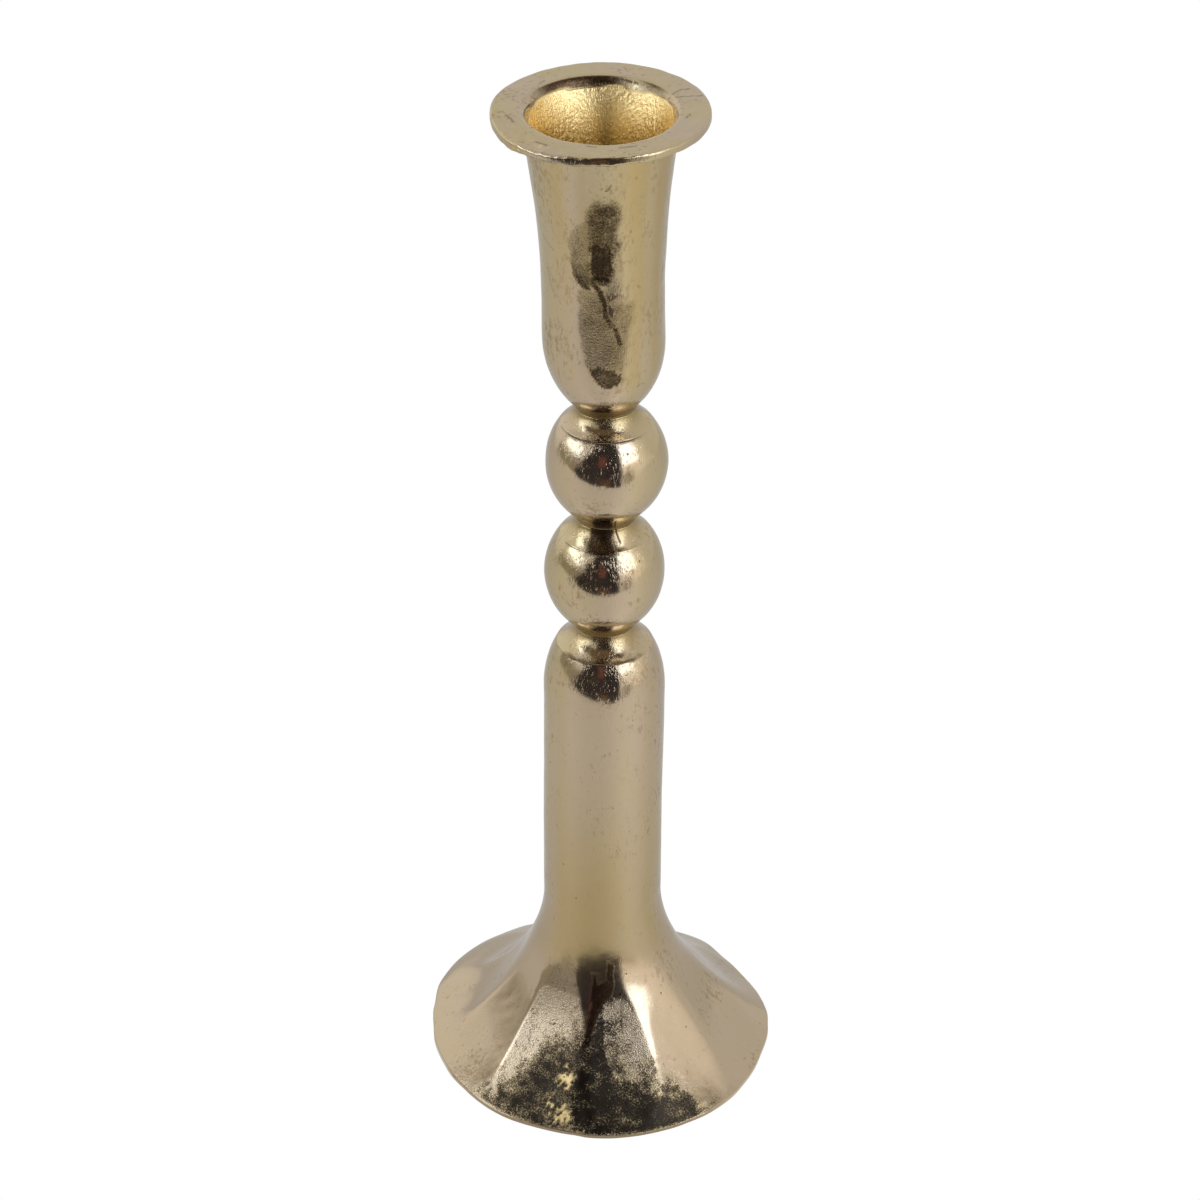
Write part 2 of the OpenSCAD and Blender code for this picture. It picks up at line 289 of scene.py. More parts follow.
def outline(*strokes):
    """One outline from strokes of (points, count, first skin, last skin). Its rows hold radius,
    height and skin, which is 1 where the surface is worked by hand and 0 where it is machined."""
    rows = []
    for points, count, first, last in strokes:
        points = np.array(points, float)
        skin = np.linspace(first, last, len(points))[:, None]
        rows.append(stroke(np.hstack([points, skin]), count))
    return np.concatenate(rows)


def walls(points, counts):
    """Strokes of machined wall that run straight from each point to the next."""
    return [([start, end], count, 0, 0) for start, end, count in zip(points, points[1:], counts)]


def unrolled(line, girth):
    """Points of (degrees from the front, height) as places on a surface unrolled at a radius."""
    return np.array(line, float) * [np.radians(girth), 1]


def to_line(place, line):
    """Distance from places to a line through points, all in millimetres."""
    line = np.array(line, float)
    nearest = np.full(place.shape[:-1], np.inf)
    for start, end in zip(line[:-1], line[1:]):
        along = np.clip(((place - start) @ (end - start)) / ((end - start) @ (end - start)), 0, 1)
        gap = place - start - along[..., None] * (end - start)
        nearest = np.minimum(nearest, np.hypot(gap[..., 0], gap[..., 1]))
    return nearest


def to_lines(place, lines):
    """Distance from places to the nearest of several lines, in millimetres."""
    return np.minimum.reduce([to_line(place, line) for line in lines])


def to_area(place, corners):
    """Distance from places to the border of an area, less than 0 inside it, all in millimetres."""
    ring = np.array([*corners, corners[0]], float)
    inside = np.zeros(place.shape[:-1], bool)
    for start, end in zip(ring[:-1], ring[1:]):
        crosses = (start[1] > place[..., 1]) != (end[1] > place[..., 1])
        rise = (end[1] - start[1]) or 1.0
        at = start[0] + (place[..., 1] - start[1]) * (end[0] - start[0]) / rise
        inside ^= crosses & (place[..., 0] < at)
    return to_line(place, ring) * np.where(inside, -1, 1)


class Lathe:
    """An outline turned about the axis. Each array has a row for a point of the outline and a
    column for a direction: turn in degrees, radius r, height z, and the outward normal's two parts."""

    def __init__(self, rows, turns, open_ended=False, front=0.0):
        """Front is how much closer together the directions are in front than on average."""
        self.open_ended = open_ended
        way = np.linspace(-np.pi, np.pi, turns, endpoint=False)
        self.turn = np.tile((np.degrees(way - front * np.sin(way)) - 90) % 360, (len(rows), 1))
        spread = [np.repeat(column[:, None], turns, axis=1) for column in rows.T]
        self.r, self.z, self.skin = spread
        if open_ended:
            along = np.gradient(rows[:, :2], axis=0)
        else:
            along = np.roll(rows[:, :2], -1, axis=0) - np.roll(rows[:, :2], 1, axis=0)
        along /= np.maximum(np.linalg.norm(along, axis=1, keepdims=True), 1e-12)
        area = np.sum(rows[:, 0] * np.roll(rows[:, 1], -1) - np.roll(rows[:, 0], -1) * rows[:, 1])
        side = 1 if area > 0 else -1
        self.out_r = np.repeat(side * along[:, 1:2], turns, axis=1)
        self.out_z = np.repeat(-side * along[:, 0:1], turns, axis=1)
        self.marks = {}

    def points(self):
        """Places of the points, before anything is pushed out."""
        turn = np.radians(self.turn)
        return np.stack([self.r * np.cos(turn), self.r * np.sin(turn), self.z], axis=-1)

    @property
    def side(self):
        """Direction in degrees from the front, to the right."""
        return turned_from(self.turn, -90)

    def place(self, girth):
        """Where the points lie on the surface unrolled at a radius: across and up, in millimetres."""
        return np.stack([np.radians(self.side) * girth, self.z / MM], axis=-1)

    def fade(self, rows, share):
        """Blends the surface by a share at each point into another outline with as many rows."""
        self.r = self.r + (rows[:, 0:1] - self.r) * share
        self.z = self.z + (rows[:, 1:2] - self.z) * share

    def push(self, amount):
        """Moves the surface outwards along its normal by an amount at each point."""
        self.r = self.r + amount * self.out_r
        self.z = self.z + amount * self.out_z


# How far the castings stand to the right at each height, because the stack isn't quite straight:
# height and shift in millimetres.
LEAN = (
    (0, 0), (60, 0.37), (126, 0.7), (141, 0.7), (156, 1.0), (171, 1.27), (186, 0.95), (200, 0.6),
    (249, -0.1), (260, -0.22),
)


def lean(z):
    """How far the castings stand to the right at a height."""
    heights, shifts = np.array(LEAN).T * MM
    return np.interp(z, heights, shifts)


def mesh_of(name, lathe):
    """The mesh of a lathe, closed round the axis. Along the outline it closes on itself or, where
    the outline is open ended, in a pole at each end."""
    points = lathe.points()
    points[..., 0] += lean(lathe.z) * lathe.skin
    flat = points.reshape(-1, 3)
    rows, turns = lathe.turn.shape
    index = np.arange(rows * turns).reshape(rows, turns)
    triangles = np.zeros((0, 3), int)
    if lathe.open_ended:
        first, low, high, last = index[0], index[1], index[-2], index[-1]
        triangles = np.concatenate([
            np.stack([np.full(turns, first[0]), np.roll(low, -1), low], axis=1),
            np.stack([np.full(turns, last[0]), high, np.roll(high, -1)], axis=1),
        ])
        here, above = index[1:-2], index[2:-1]
    else:
        here, above = index, np.roll(index, -1, axis=0)
    quads = np.stack([here, np.roll(here, -1, axis=1), np.roll(above, -1, axis=1), above], axis=-1)
    quads = quads.reshape(-1, 4)
    used = np.unique(np.concatenate([quads.ravel(), triangles.ravel()]))
    renumber = np.full(len(flat), -1)
    renumber[used] = np.arange(len(used))
    quads, triangles, flat = renumber[quads], renumber[triangles], flat[used]
    a, b, c = (flat[quads[:, i]] for i in range(3))
    if np.sum(np.cross(a, b) * c) < 0:
        quads, triangles = quads[:, ::-1], triangles[:, ::-1]
    corners = np.concatenate([quads.ravel(), triangles.ravel()]).astype(np.int32)
    sizes = np.concatenate([np.full(len(quads), 4), np.full(len(triangles), 3)])
    starts = np.concatenate([[0], np.cumsum(sizes)[:-1]]).astype(np.int32)
    mesh = bpy.data.meshes.new(name)
    mesh.vertices.add(len(flat))
    mesh.vertices.foreach_set("co", flat.astype(np.float32).ravel())
    mesh.loops.add(len(corners))
    mesh.loops.foreach_set("vertex_index", corners)
    mesh.polygons.add(len(sizes))
    mesh.polygons.foreach_set("loop_start", starts)
    mesh.polygons.foreach_set("use_smooth", np.ones(len(sizes), bool))
    mesh.update(calc_edges=True)
    mesh.set_sharp_from_angle(angle=math.radians(50))
    for mark, values in lathe.marks.items():
        if values.ndim == 3:
            attribute = mesh.attributes.new(mark, "FLOAT_COLOR", "POINT")
            rgba = np.dstack([values, np.ones(values.shape[:2])]).reshape(-1, 4)[used]
            attribute.data.foreach_set("color", rgba.astype(np.float32).ravel())
            continue
        attribute = mesh.attributes.new(mark, "FLOAT", "POINT")
        attribute.data.foreach_set("value", values.reshape(-1)[used].astype(np.float32))
    if mesh.validate():
        raise RuntimeError(f"{name} has faces that had to be mended")
    return mesh


def build(name, lathe, material, nodes):
    """Makes a piece from a lathe and sets it on the frame in place of its CAD nodes, and no higher
    or lower than they are."""
    low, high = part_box(nodes[0])
    lathe.z = np.clip(lathe.z, low.z, high.z)
    piece = bpy.data.objects.new(name, mesh_of(name, lathe))
    bpy.context.scene.collection.objects.link(piece)
    piece.data.materials.append(material)
    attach(piece, BODY)
    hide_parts(*nodes)
    return piece


class Nodes:
    """A material's node tree, with one short call for each kind of node."""

    def __init__(self, name):
        self.material = bpy.data.materials.new(name)
        self.material.use_nodes = True
        self.tree = self.material.node_tree
        self.tree.nodes.clear()
        self.output = self.add("ShaderNodeOutputMaterial")
        self.place = self.add("ShaderNodeTexCoord").outputs["Object"]

    def add(self, kind, inputs=None, **settings):
        """A node with its settings, and its inputs linked or set."""
        node = self.tree.nodes.new(kind)
        for key, value in settings.items():
            setattr(node, key, value)
        for key, value in (inputs or {}).items():
            if isinstance(value, bpy.types.NodeSocket):
                self.tree.links.new(value, node.inputs[key])
            else:
                node.inputs[key].default_value = value
        return node

    def mark(self, name):
        """The value of a mesh attribute."""
        return self.add("ShaderNodeAttribute", attribute_name=name).outputs["Fac"]

    def height_of_place(self):
        """Height above the table."""
        return self.add("ShaderNodeSeparateXYZ", {0: self.place}).outputs["Z"]

    def stretched(self, scale):
        """Object coordinates, scaled by axis."""
        return self.add("ShaderNodeMapping", {"Vector": self.place, "Scale": scale}).outputs[0]

    def noise(self, scale, detail=2, roughness=0.5, place=None):
        """Noise from 0 to 1, with features one over the scale across, in metres."""
        return self.add("ShaderNodeTexNoise", {
            "Vector": place or self.place, "Scale": scale, "Detail": detail, "Roughness": roughness,
        }).outputs[0]

    def dots(self, scale, size, share):
        """Round dots in a share of the cells of a loose grid, as wide as a share of a cell."""
        cells = self.add("ShaderNodeTexVoronoi", {"Vector": self.place, "Scale": scale})
        chosen = self.add("ShaderNodeSeparateColor", {0: cells.outputs["Color"]}).outputs[0]
        near = self.step(cells.outputs["Distance"], size, size * 0.5)
        return self.times(near, self.step(chosen, 1 - share, 1.02 - share))

    def math(self, operation, a, b):
        """A Math node."""
        return self.add("ShaderNodeMath", {0: a, 1: b}, operation=operation).outputs[0]

    def times(self, a, b):
        """Product of two values."""
        return self.math("MULTIPLY", a, b)

    def plus(self, a, b):
        """Sum of two values."""
        return self.math("ADD", a, b)

    def step(self, value, low, high, bottom=0.0, top=1.0):
        """Smooth step of a value from bottom at low to top at high."""
        if low > high:
            low, high, bottom, top = high, low, top, bottom
        return self.add("ShaderNodeMapRange", {
            "Value": value, "From Min": low, "From Max": high, "To Min": bottom, "To Max": top,
        }, interpolation_type="SMOOTHSTEP").outputs[0]

    def blend(self, factor, a, b, kind="MIX"):
        """Mix of two colours."""
        inputs = {0: factor, 6: self.solid(a), 7: self.solid(b)}
        return self.add("ShaderNodeMix", inputs, data_type="RGBA", blend_type=kind).outputs[2]

    def blend_values(self, factor, a, b):
        """Mix of two values."""
        return self.add("ShaderNodeMix", {0: factor, 2: a, 3: b}).outputs[0]

    @staticmethod
    def solid(colour):
        """A colour with its alpha, or the socket it comes from."""
        return colour if isinstance(colour, bpy.types.NodeSocket) else (*colour[:3], 1.0)

    def metal(self, colour, roughness, height):
        """A metal surface with a colour, a roughness and a height in millimetres."""
        normal = self.add("ShaderNodeBump", {"Strength": 1.0, "Distance": MM, "Height": height}).outputs[0]
        inputs = {"Base Color": colour, "Metallic": 1.0, "Roughness": roughness, "Normal": normal}
        shader = self.add("ShaderNodeBsdfPrincipled", inputs)
        self.tree.links.new(shader.outputs[0], self.output.inputs["Surface"])
        return self.material


# Heights in metres over which the finish changes: from the foot's to the column's, from the balls' to
# the cup's and from the cup's to the lip's.
FOOT_TO_COLUMN, BALLS_TO_CUP, CUP_TO_LIP = (0.03, 0.06), (0.19, 0.2), (0.2545, 0.256)


def cast_brass(finish):
    """Champagne plated casting. Marks on the mesh say where it is bare gold brass, left with the
    grain of the sand, raw underneath, scuffed, or dark, where the dark is tarnish and also painted
    shade and painted dark reflections, pitted where there is grain. The colour and the roughness are
    mixed by the marks, and the height is a sum of reliefs."""
    n = Nodes("champagne_brass")
    gold, grain, raw, tarnish_and_painted_shade = (n.mark(name) for name in ("gold", "grain", "raw", "tarnish_and_painted_shade"))
    cloud = n.noise(1, 2, 0.5, n.stretched((60, 60, 14)))
    mottle = n.noise(1, 4, 0.7, n.stretched((900, 900, 520)))
    place_z = n.height_of_place()
    upper = n.step(place_z, *FOOT_TO_COLUMN, 0.2, 1.0)
    on_cup = n.times(n.step(place_z, *BALLS_TO_CUP), n.step(place_z, *CUP_TO_LIP, 1, 0))
    zone = n.plus(n.times(n.noise(90, 2), 0.5), n.plus(n.times(on_cup, -0.065), -0.235))
    specks = n.step(n.plus(mottle, zone), 0.45, 0.27, 0, 0.7)
    colour = n.blend(n.times(n.step(cloud, 0.4, 0.62), upper), finish.champagne, finish.straw)
    colour = n.blend(specks, colour, finish.speck, "MULTIPLY")
    colour = n.blend(n.step(gold, -0.12, 0.5), colour, finish.old_gold)
    colour = n.blend(n.step(gold, 0.45, 0.95), colour, finish.gold)
    colour = n.blend(raw, colour, finish.raw)

    pits = n.times(n.dots(330, 0.11, 0.12), n.step(n.noise(900, 2), 0.4, 0.5))
    fleck = n.noise(2600, 3, 0.8)
    speckle = n.plus(n.times(fleck, 2.8), n.times(n.noise(330, 3), 1.5))
    speckle = n.step(n.plus(n.times(tarnish_and_painted_shade, 1.2), speckle), 2.5, 3.2)
    even = n.times(tarnish_and_painted_shade, n.plus(n.times(fleck, 1.3), 0.35))
    stain_and_painted_shade = n.blend_values(n.step(grain, 0.3, 0.6), even, n.times(speckle, n.step(tarnish_and_painted_shade, 0.02, 0.2)))
    # The dark colour, used for tarnish and for painted shade and painted dark reflections alike.
    dirt_and_painted_shade = n.blend(grain, finish.tarnish_and_painted_shade, finish.grime_and_painted_shade)
    colour = n.blend(n.math("MAXIMUM", n.times(pits, 0.8), stain_and_painted_shade), colour, dirt_and_painted_shade)

    roughness = n.plus(finish.satin - 0.06, n.times(mottle, 0.08))
    roughness = n.plus(roughness, n.times(n.math("MAXIMUM", n.times(grain, 0.6), tarnish_and_painted_shade), 0.12))
    rough_part = n.math("MAXIMUM", n.times(gold, 0.7), raw)
    roughness = n.plus(roughness, n.times(rough_part, finish.grain - finish.satin))

    streak = n.step(n.noise(1, 2, 0.6, n.stretched((2600, 2600, 330))), 0.5, 0.75)
    rubbed = n.step(n.noise(1, 1, 0.5, n.stretched((2300, 2300, 300))), 0.62, 0.8)
    crinkle = n.plus(n.noise(1, 4, 0.7, n.stretched((1200, 1200, 2300))), -0.5)
    wrinkle = n.noise(1, 3, 0.65, n.stretched((1450, 1450, 900)))
    height = n.times(n.noise(700, 2), 0.010)
    for relief, where, rise in (
        (n.times(streak, n.step(n.noise(260, 2), 0.4, 0.6)), upper, 0.04),
        (n.plus(n.noise(2900, 2, 0.7), -0.5), grain, 0.065),
        (rubbed, n.mark("scuff"), 0.04),
        (n.dots(1250, 0.32, 0.3), grain, 0.07),
        (crinkle, n.step(tarnish_and_painted_shade, 0.05, 0.25), 0.07),
        (n.noise(1100, 3, 0.6), raw, 0.3),
        (wrinkle, n.step(gold, 0.6, 1.0), 0.27),
    ):
        height = n.plus(height, n.times(n.times(relief, where), rise))
    sunk = n.math("MAXIMUM", pits, n.times(stain_and_painted_shade, grain))
    return n.metal(colour, roughness, n.plus(height, n.times(sunk, -0.05)))


def zinc_steel(finish):
    """Zinc plated steel with faint spangle and turning marks."""
    n = Nodes("bright_zinc")
    rings = n.noise(1, 2, 0.5, n.stretched((300, 300, 5000)))
    spangle = n.step(n.noise(500, 3), 0.35, 0.65, 0, 0.35)
    colour = n.blend(spangle, finish.steel, finish.spangle, "MULTIPLY")
    return n.metal(colour, n.step(rings, 0.3, 0.7, 0.26, 0.42), n.times(rings, 0.02))


Flat = namedtuple("Flat", "turn depth top soft grain")

# The flats beaten round the foot, as the photograph shows them from the front: direction in degrees,
# depth and top height in millimetres, how soft its borders are, and how rough it was left.
FLATS = (
    Flat(-14.4, 1.04, 33.0, 0.25, 0.1),
    Flat(28.8, 0.99, 30.4, 0.25, 0.1),
    Flat(61.2, 1.10, 34.3, 0.25, 0.1),
    Flat(102.6, 0.88, 31.7, 0.25, 0.2),
    Flat(140.4, 0.99, 33.7, 0.25, 0.1),
    Flat(169.2, 1.06, 31.0, 0.3, 0.1),
    Flat(207.0, 1.10, 33.0, 0.12, 0.0),
    Flat(239.0, 1.33, 37.5, 0.12, 1.0),
    Flat(279.0, 0.99, 30.0, 0.2, 0.9),
    Flat(311.0, 0.79, 28.4, 0.2, 0.0),
)
# How far the foot's edge falls short of its full radius, how much higher or lower its upper corner
# is, and how high the dark pitted band reaches: direction in degrees from the front, to the right,
# and millimetres.
EDGE_INSETS = (
    (-180, -0.1), (-166, -1.0), (-151, -2.0), (-131, -2.2), (-112, -1.9), (-99, -0.6), (-88, 0.2),
    (-68, 1.2), (-55, 1.8), (-38, 1.8), (-21, 2.5), (-10, 2.3), (-4, 1.8), (6, 1.6), (20, 1.6),
    (30, 1.5), (40, 1.2), (50, 1.2), (61, 1.5), (75, 1.4), (91, 0.4), (98, 0.0), (119, 0.6),
    (130, 0.5), (142, -0.6), (160, -0.3),
)
EDGE_LIFTS = (
    (-155, 1.2), (-125, 1.7), (-100, 1.2), (-80, 0.0), (-50, -0.8), (75, -0.7), (110, 0.0), (150, 0.6),
)
PITTED_BAND = (
    (-70, -5.0), (-60, 1.5), (-52, 6.0), (-45, 7.5), (-38, 9.0), (-31, 14.5), (-24, 18.0), (-12, 19.5),
    (-3, 18.0), (8, 13.0), (18, 10.5), (25, 9.5), (32, 8.0), (38, 5.5), (44, 2.5), (51, -2.0), (58, -5.0),
)
# Spots of bare gold on the foot's front and the painted dark reflection down its middle, drawn on
# the surface unrolled at the girth's radius: degrees from the front, to the right, and heights in
# millimetres.
FOOT_GIRTH = 34
GOLD_SPOTS = (
    ((-20.6, 9.5), (-16.7, 12.0), (-12.0, 12.3), (-12.5, 8.8)),
    ((-21.3, 4.6), (-13.2, 5.4), (-9, 3.4), (-7.2, 1.6), (-12, 2.2)),
)
DARK_REFLECTION = (
    (-9, 33), (-7, 26), (-9.5, 21), (-11, 18), (-13.5, 14.5), (-13, 9), (-9, 3), (15, 3.5), (18, 7.5),
    (8, 10), (3, 13), (0.5, 17), (0.5, 21), (1.5, 26), (8, 28), (9, 35), (4.5, 35.5), (3.5, 31.5),
    (-3, 31), (-4, 33.5),
)
# Yellow streaks up the column and up the cup: direction in degrees, width in degrees and share.
COLUMN_STREAKS = ((-45, 10, 0.13), (52, 8, 0.13))
CUP_STREAKS = ((-33, 7, 0.14), (-14, 4, 0.12), (32, 9, 0.30), (55, 8, 0.26))
# Height of the crease under each collar, in millimetres. The creases run across the front: their
# middle, and how far to each side of it they start to fade and end, in degrees.
CREASES = {"column_foot": 0.5, "lower_ball": 0.12, "upper_ball": 0.5}
CREASE_MIDDLE, CREASE_FADE, CREASE_END = -6, 52, 76
# How far from a neck the polishing sets in, in millimetres, and the share of each mark left there.
DULL_REACH = 2.2
DULL = {"grain": 0.28, "gold": 0.4, "tarnish_and_painted_shade": 0.3}
# A slash on the lower ball's collar: degrees from the front and millimetres above the ball's middle.
COLLAR_GIRTH = 9
SLASH = ((18.5, 14.8), (22.5, 12.3))
# How many directions a casting's surface has.
BALL_TURNS = FOOT_TURNS = 384
CUP_TURNS = 330


def around(turn, table):
    """Value in each direction from a table of (direction, value), by smooth steps between them."""
    ways = np.array([row[0] for row in table], float)
    values = np.array([row[1] for row in table], float)
    ways = np.append(ways, ways[0] + 360)
    values = np.append(values, values[0])
    turn = (turn - ways[0]) % 360 + ways[0]
    cell = np.clip(np.searchsorted(ways, turn, side="right") - 1, 0, len(ways) - 2)
    share = smooth(0, 1, (turn - ways[cell]) / (ways[cell + 1] - ways[cell]))
    return values[cell] + (values[cell + 1] - values[cell]) * share


def foot_outline(s, crease):
    """Outline of the foot casting: socket, dome, column, flare, standing ring and hollow."""
    socket_r, socket_z = s.spigot_r + s.spigot_gap, s.column_h - s.spigot_l - s.spigot_end_gap
    cavity_r, boss_z = s.column_r - s.column_wall, s.column_h - s.boss_t
    dome = bulge(s, s.column_r, s.dome_h, s.dome_collar_r, s.dome_collar_h, crease)
    side, collar = (raised(part, s.column_h - s.dome_h)[::-1] for part in dome)
    flare = flare_points(s, 0, 0)[:-1]
    ring_in, ring_out, edge_top = (s.foot_r - s.foot_ring_w, 0), (s.foot_r, 0), (s.foot_r, s.foot_edge_h)
    edge_upper = rounded(flare[-1], edge_top, ring_out, s.foot_edge_round)
    edge_lower = rounded(edge_top, ring_out, ring_in, s.foot_edge_round)
    hollow = flare_points(s, s.column_wall, s.flare_drop)
    hollow = hollow[hollow[:, 0] < ring_in[0]][::-1]
    fillet = rounded((cavity_r, s.flare_h), (cavity_r, boss_z), (s.bore_r, boss_z), s.boss_fillet)
    return outline(
        *walls([(s.bore_r, socket_z), (socket_r, socket_z), (socket_r, s.column_h)], (3, 4)),
        ([(socket_r, s.column_h), collar[0]], 4, 0, 1),
        (collar, 34, 1, 1),
        (side[:12], 14, 1, 1),
        (side[11:], 24, 1, 1),
        ([side[-1], flare[0]], 24, 1, 1),
        (np.vstack([flare, edge_upper[:1]]), 84, 1, 1),
        (edge_upper, 5, 1, 1),
        ([edge_upper[-1], edge_lower[0]], 2, 1, 1),
        (edge_lower, 5, 1, 1),
        ([edge_lower[-1], ring_in], 3, 1, 0.6),
        ([ring_in, hollow[0]], 3, 0.6, 0.5),
        (hollow, 24, 0.5, 0),
        ([hollow[-1], fillet[0]], 12, 0, 0),
        (fillet, 5, 0, 0),
        *walls([fillet[-1], (s.bore_r, boss_z), (s.bore_r, socket_z)], (4, 4)),
    )


def flare_points(s, inwards, down):
    """The flare: its radius grows with the square of the way down."""
    return curve(lambda t: (
        s.column_r - inwards + (s.foot_r - s.column_r) * t * t,
        s.flare_h - down - (s.flare_h - s.foot_edge_h) * t,
    ), 60)


def flat_radius(s, flat, turn, z):
    """Radius at which one flat cuts the flare. The tool is a barrel that lies across the flare: it
    meets the flare at the flat's two ends and is sunk by its depth halfway between them, so across
    the flat its distance from the axis is divided by the cosine of the direction."""
    fall = s.flare_h - s.foot_edge_h

    def on_flare(height):
        t = (s.flare_h - height) / fall
        return np.array([s.column_r + (s.foot_r - s.column_r) * t * t, height]), t

    upper, lower = on_flare(flat.top * MM)[0], on_flare(s.flat_bottom_h)[0]
    middle, t = on_flare((flat.top * MM + s.flat_bottom_h) / 2)
    slope = np.array([1, 2 * (s.foot_r - s.column_r) * t / fall])
    deepest = middle - slope / np.linalg.norm(slope) * flat.depth * MM
    along = (upper - lower) / np.linalg.norm(upper - lower)
    outwards = np.array([along[1], -along[0]])
    sag = ((upper + lower) / 2 - deepest) @ outwards
    barrel_r = (np.linalg.norm(upper - lower) ** 2 / 4 + sag * sag) / (2 * sag)
    centre = (upper + lower) / 2 + outwards * (barrel_r - sag)
    x = centre[0] - np.sqrt(np.maximum(barrel_r ** 2 - (z - centre[1]) ** 2, 0))
    away = np.radians(np.clip(turned_from(turn, flat.turn), -75, 75))
    return np.where(z < s.flare_h, x / np.cos(away), 1.0)


def softer_of(a, b, softness):
    """The lower of two surfaces, blended where they cross."""
    return -softness * np.logaddexp(-a / softness, -b / softness)


def hand_work(lathe, seed, amount=1.0):
    """Slight unevenness of a casting that was filed and polished by hand."""
    points = lathe.points()
    wave = 0.10 * ripple(points, 34 * MM, seed) + 0.035 * ripple(points, 11 * MM, seed + 1)
    wave += 0.008 * ripple(points, 3.5 * MM, seed + 2)
    lathe.push(wave * MM * amount * lathe.skin)


def dull_neck(lathe, height):
    """Share of a surface that the polishing didn't reach, next to a neck at a height in millimetres."""
    return hump(lathe.z / MM - height, DULL_REACH) * lathe.skin


def unpolished(lathe):
    """Share of a surface that is raw casting, because no hand or tool has worked it."""
    return smooth(0.9, 0.6, lathe.skin)


def past_crease(lathe):
    """Share of a surface at the sides and behind, where the crease has faded out."""
    return smooth(CREASE_FADE, CREASE_END, np.abs(lathe.side - CREASE_MIDDLE))


def under_crease(lathe, rim_z):
    """Share of painted shade just under a crease at a height in millimetres, and the share of scuffs
    on the bulge's front below it."""
    points, below = lathe.points(), rim_z - lathe.z / MM
    ragged = ripple(points, 2.5 * MM, 61)
    dark = 0.75 * smooth(0.65, 0.2, np.abs(below + 0.1) + 0.12 * ragged)
    dark *= smooth(58, 36, np.abs(lathe.side - CREASE_MIDDLE) + 5 * ragged) * lathe.skin
    scuff = smooth(-4, 0, below) * smooth(13, 8, below + ragged)
    scuff *= smooth(46, 26, np.abs(lathe.side + 4) + 5 * ragged) * lathe.skin
    return dark, scuff


def streaks(lathe, points, seed, rows):
    """Shares of soft upright streaks, each a bell curve across a direction that wavers a little."""
    waver = 2 * ripple(points, 20 * MM, seed)
    return sum(share * hump(lathe.side - side + waver, width) for side, width, share in rows)


def beat_flats(lathe, s, outside):
    """Cuts the flats into the flare, and returns the share of grain that they leave."""
    grain = np.zeros_like(lathe.r)
    for flat in FLATS:
        cut = flat_radius(s, flat, lathe.turn, lathe.z)
        inside = smooth(-0.1 * MM, 0.35 * MM, lathe.r - cut)
        lathe.r = np.where(outside, softer_of(lathe.r, cut, flat.soft * MM), lathe.r)
        grain = np.where(outside, grain * (1 - inside) + flat.grain * inside, grain)
    return grain


def mark_foot(lathe, s, outside, grain):
    """Marks of the foot casting: on the flare a pitted band, a painted dark reflection down the front
    with painted shade on the flats beside it, and spots of gold, and up the column yellow streaks,
    painted shade under a crease and a dull neck. Each is a product of smooth steps over heights in
    millimetres and directions in degrees."""
    place, side, z, points = lathe.place(FOOT_GIRTH), lathe.side, lathe.z / MM, lathe.points()
    ragged = 1.2 * ripple(points, 6 * MM, 41) + 0.7 * ripple(points, 2.2 * MM, 42)
    thin = 0.15 * smooth(-4, -16, side) + 0.24 * smooth(-34, -48, side)
    edge = smooth(s.foot_edge_h * 0.9, s.foot_edge_h * 0.5, lathe.z)
    band = smooth(-8, 8, around(side, PITTED_BAND) - z + ragged)
    band *= (1 - thin) * (1 - 0.2 * smooth(28, 42, side)) * (1 - 0.6 * edge)
    # Painted dark reflection down the front of the flare, between the flats.
    dark_reflection = 0.97 * smooth(0.8, -0.6, to_area(place, unrolled(DARK_REFLECTION, FOOT_GIRTH)) + 0.3 * ragged)
    spots = np.minimum.reduce([to_area(place, unrolled(spot, FOOT_GIRTH)) for spot in GOLD_SPOTS])
    gold = smooth(0.7, -0.9, spots + 0.4 * ragged + 0.8 * ripple(points, 1.3 * MM, 43))
    # Painted shade on the flats either side of the painted dark reflection, fading away from it.
    shade = smooth(21, 4, np.abs(side - 0.5) + 2 * ragged) * smooth(7, 12, z) * smooth(29, 22, z + ragged)
    dark = np.maximum.reduce([band, 0.2 * grain + 0.5 * shade, dark_reflection * smooth(2, 6, z)])
    grain = np.maximum(grain * smooth(29, 25, z), smooth(0.3, 0.7, band))
    low_column = smooth(98, 42, z) * smooth(28, 38, z) * lathe.skin
    yellow = (0.12 + 0.28 * hump(side + 14, 30)) * low_column
    yellow += streaks(lathe, points, 44, COLUMN_STREAKS) * smooth(30, 44, z) * lathe.skin
    dull = dull_neck(lathe, s.column_h / MM)
    # Painted shade under the dome's crease, and scuffs below it.
    crease, scuff = under_crease(lathe, (s.column_h - s.dome_collar_h) / MM + 0.2)
    stain_and_painted_shade = np.where(outside, dark * (1 - 0.8 * gold), 0) + 0.10 * low_column
    lathe.marks = {
        "raw": unpolished(lathe),
        "scuff": scuff,
        "grain": np.where(outside, grain, 0) + DULL["grain"] * dull,
        "tarnish_and_painted_shade": stain_and_painted_shade + np.maximum(DULL["tarnish_and_painted_shade"] * dull, crease),
        "gold": np.where(outside, np.maximum(gold, 0.3 * band), 0) + yellow + DULL["gold"] * dull,
    }


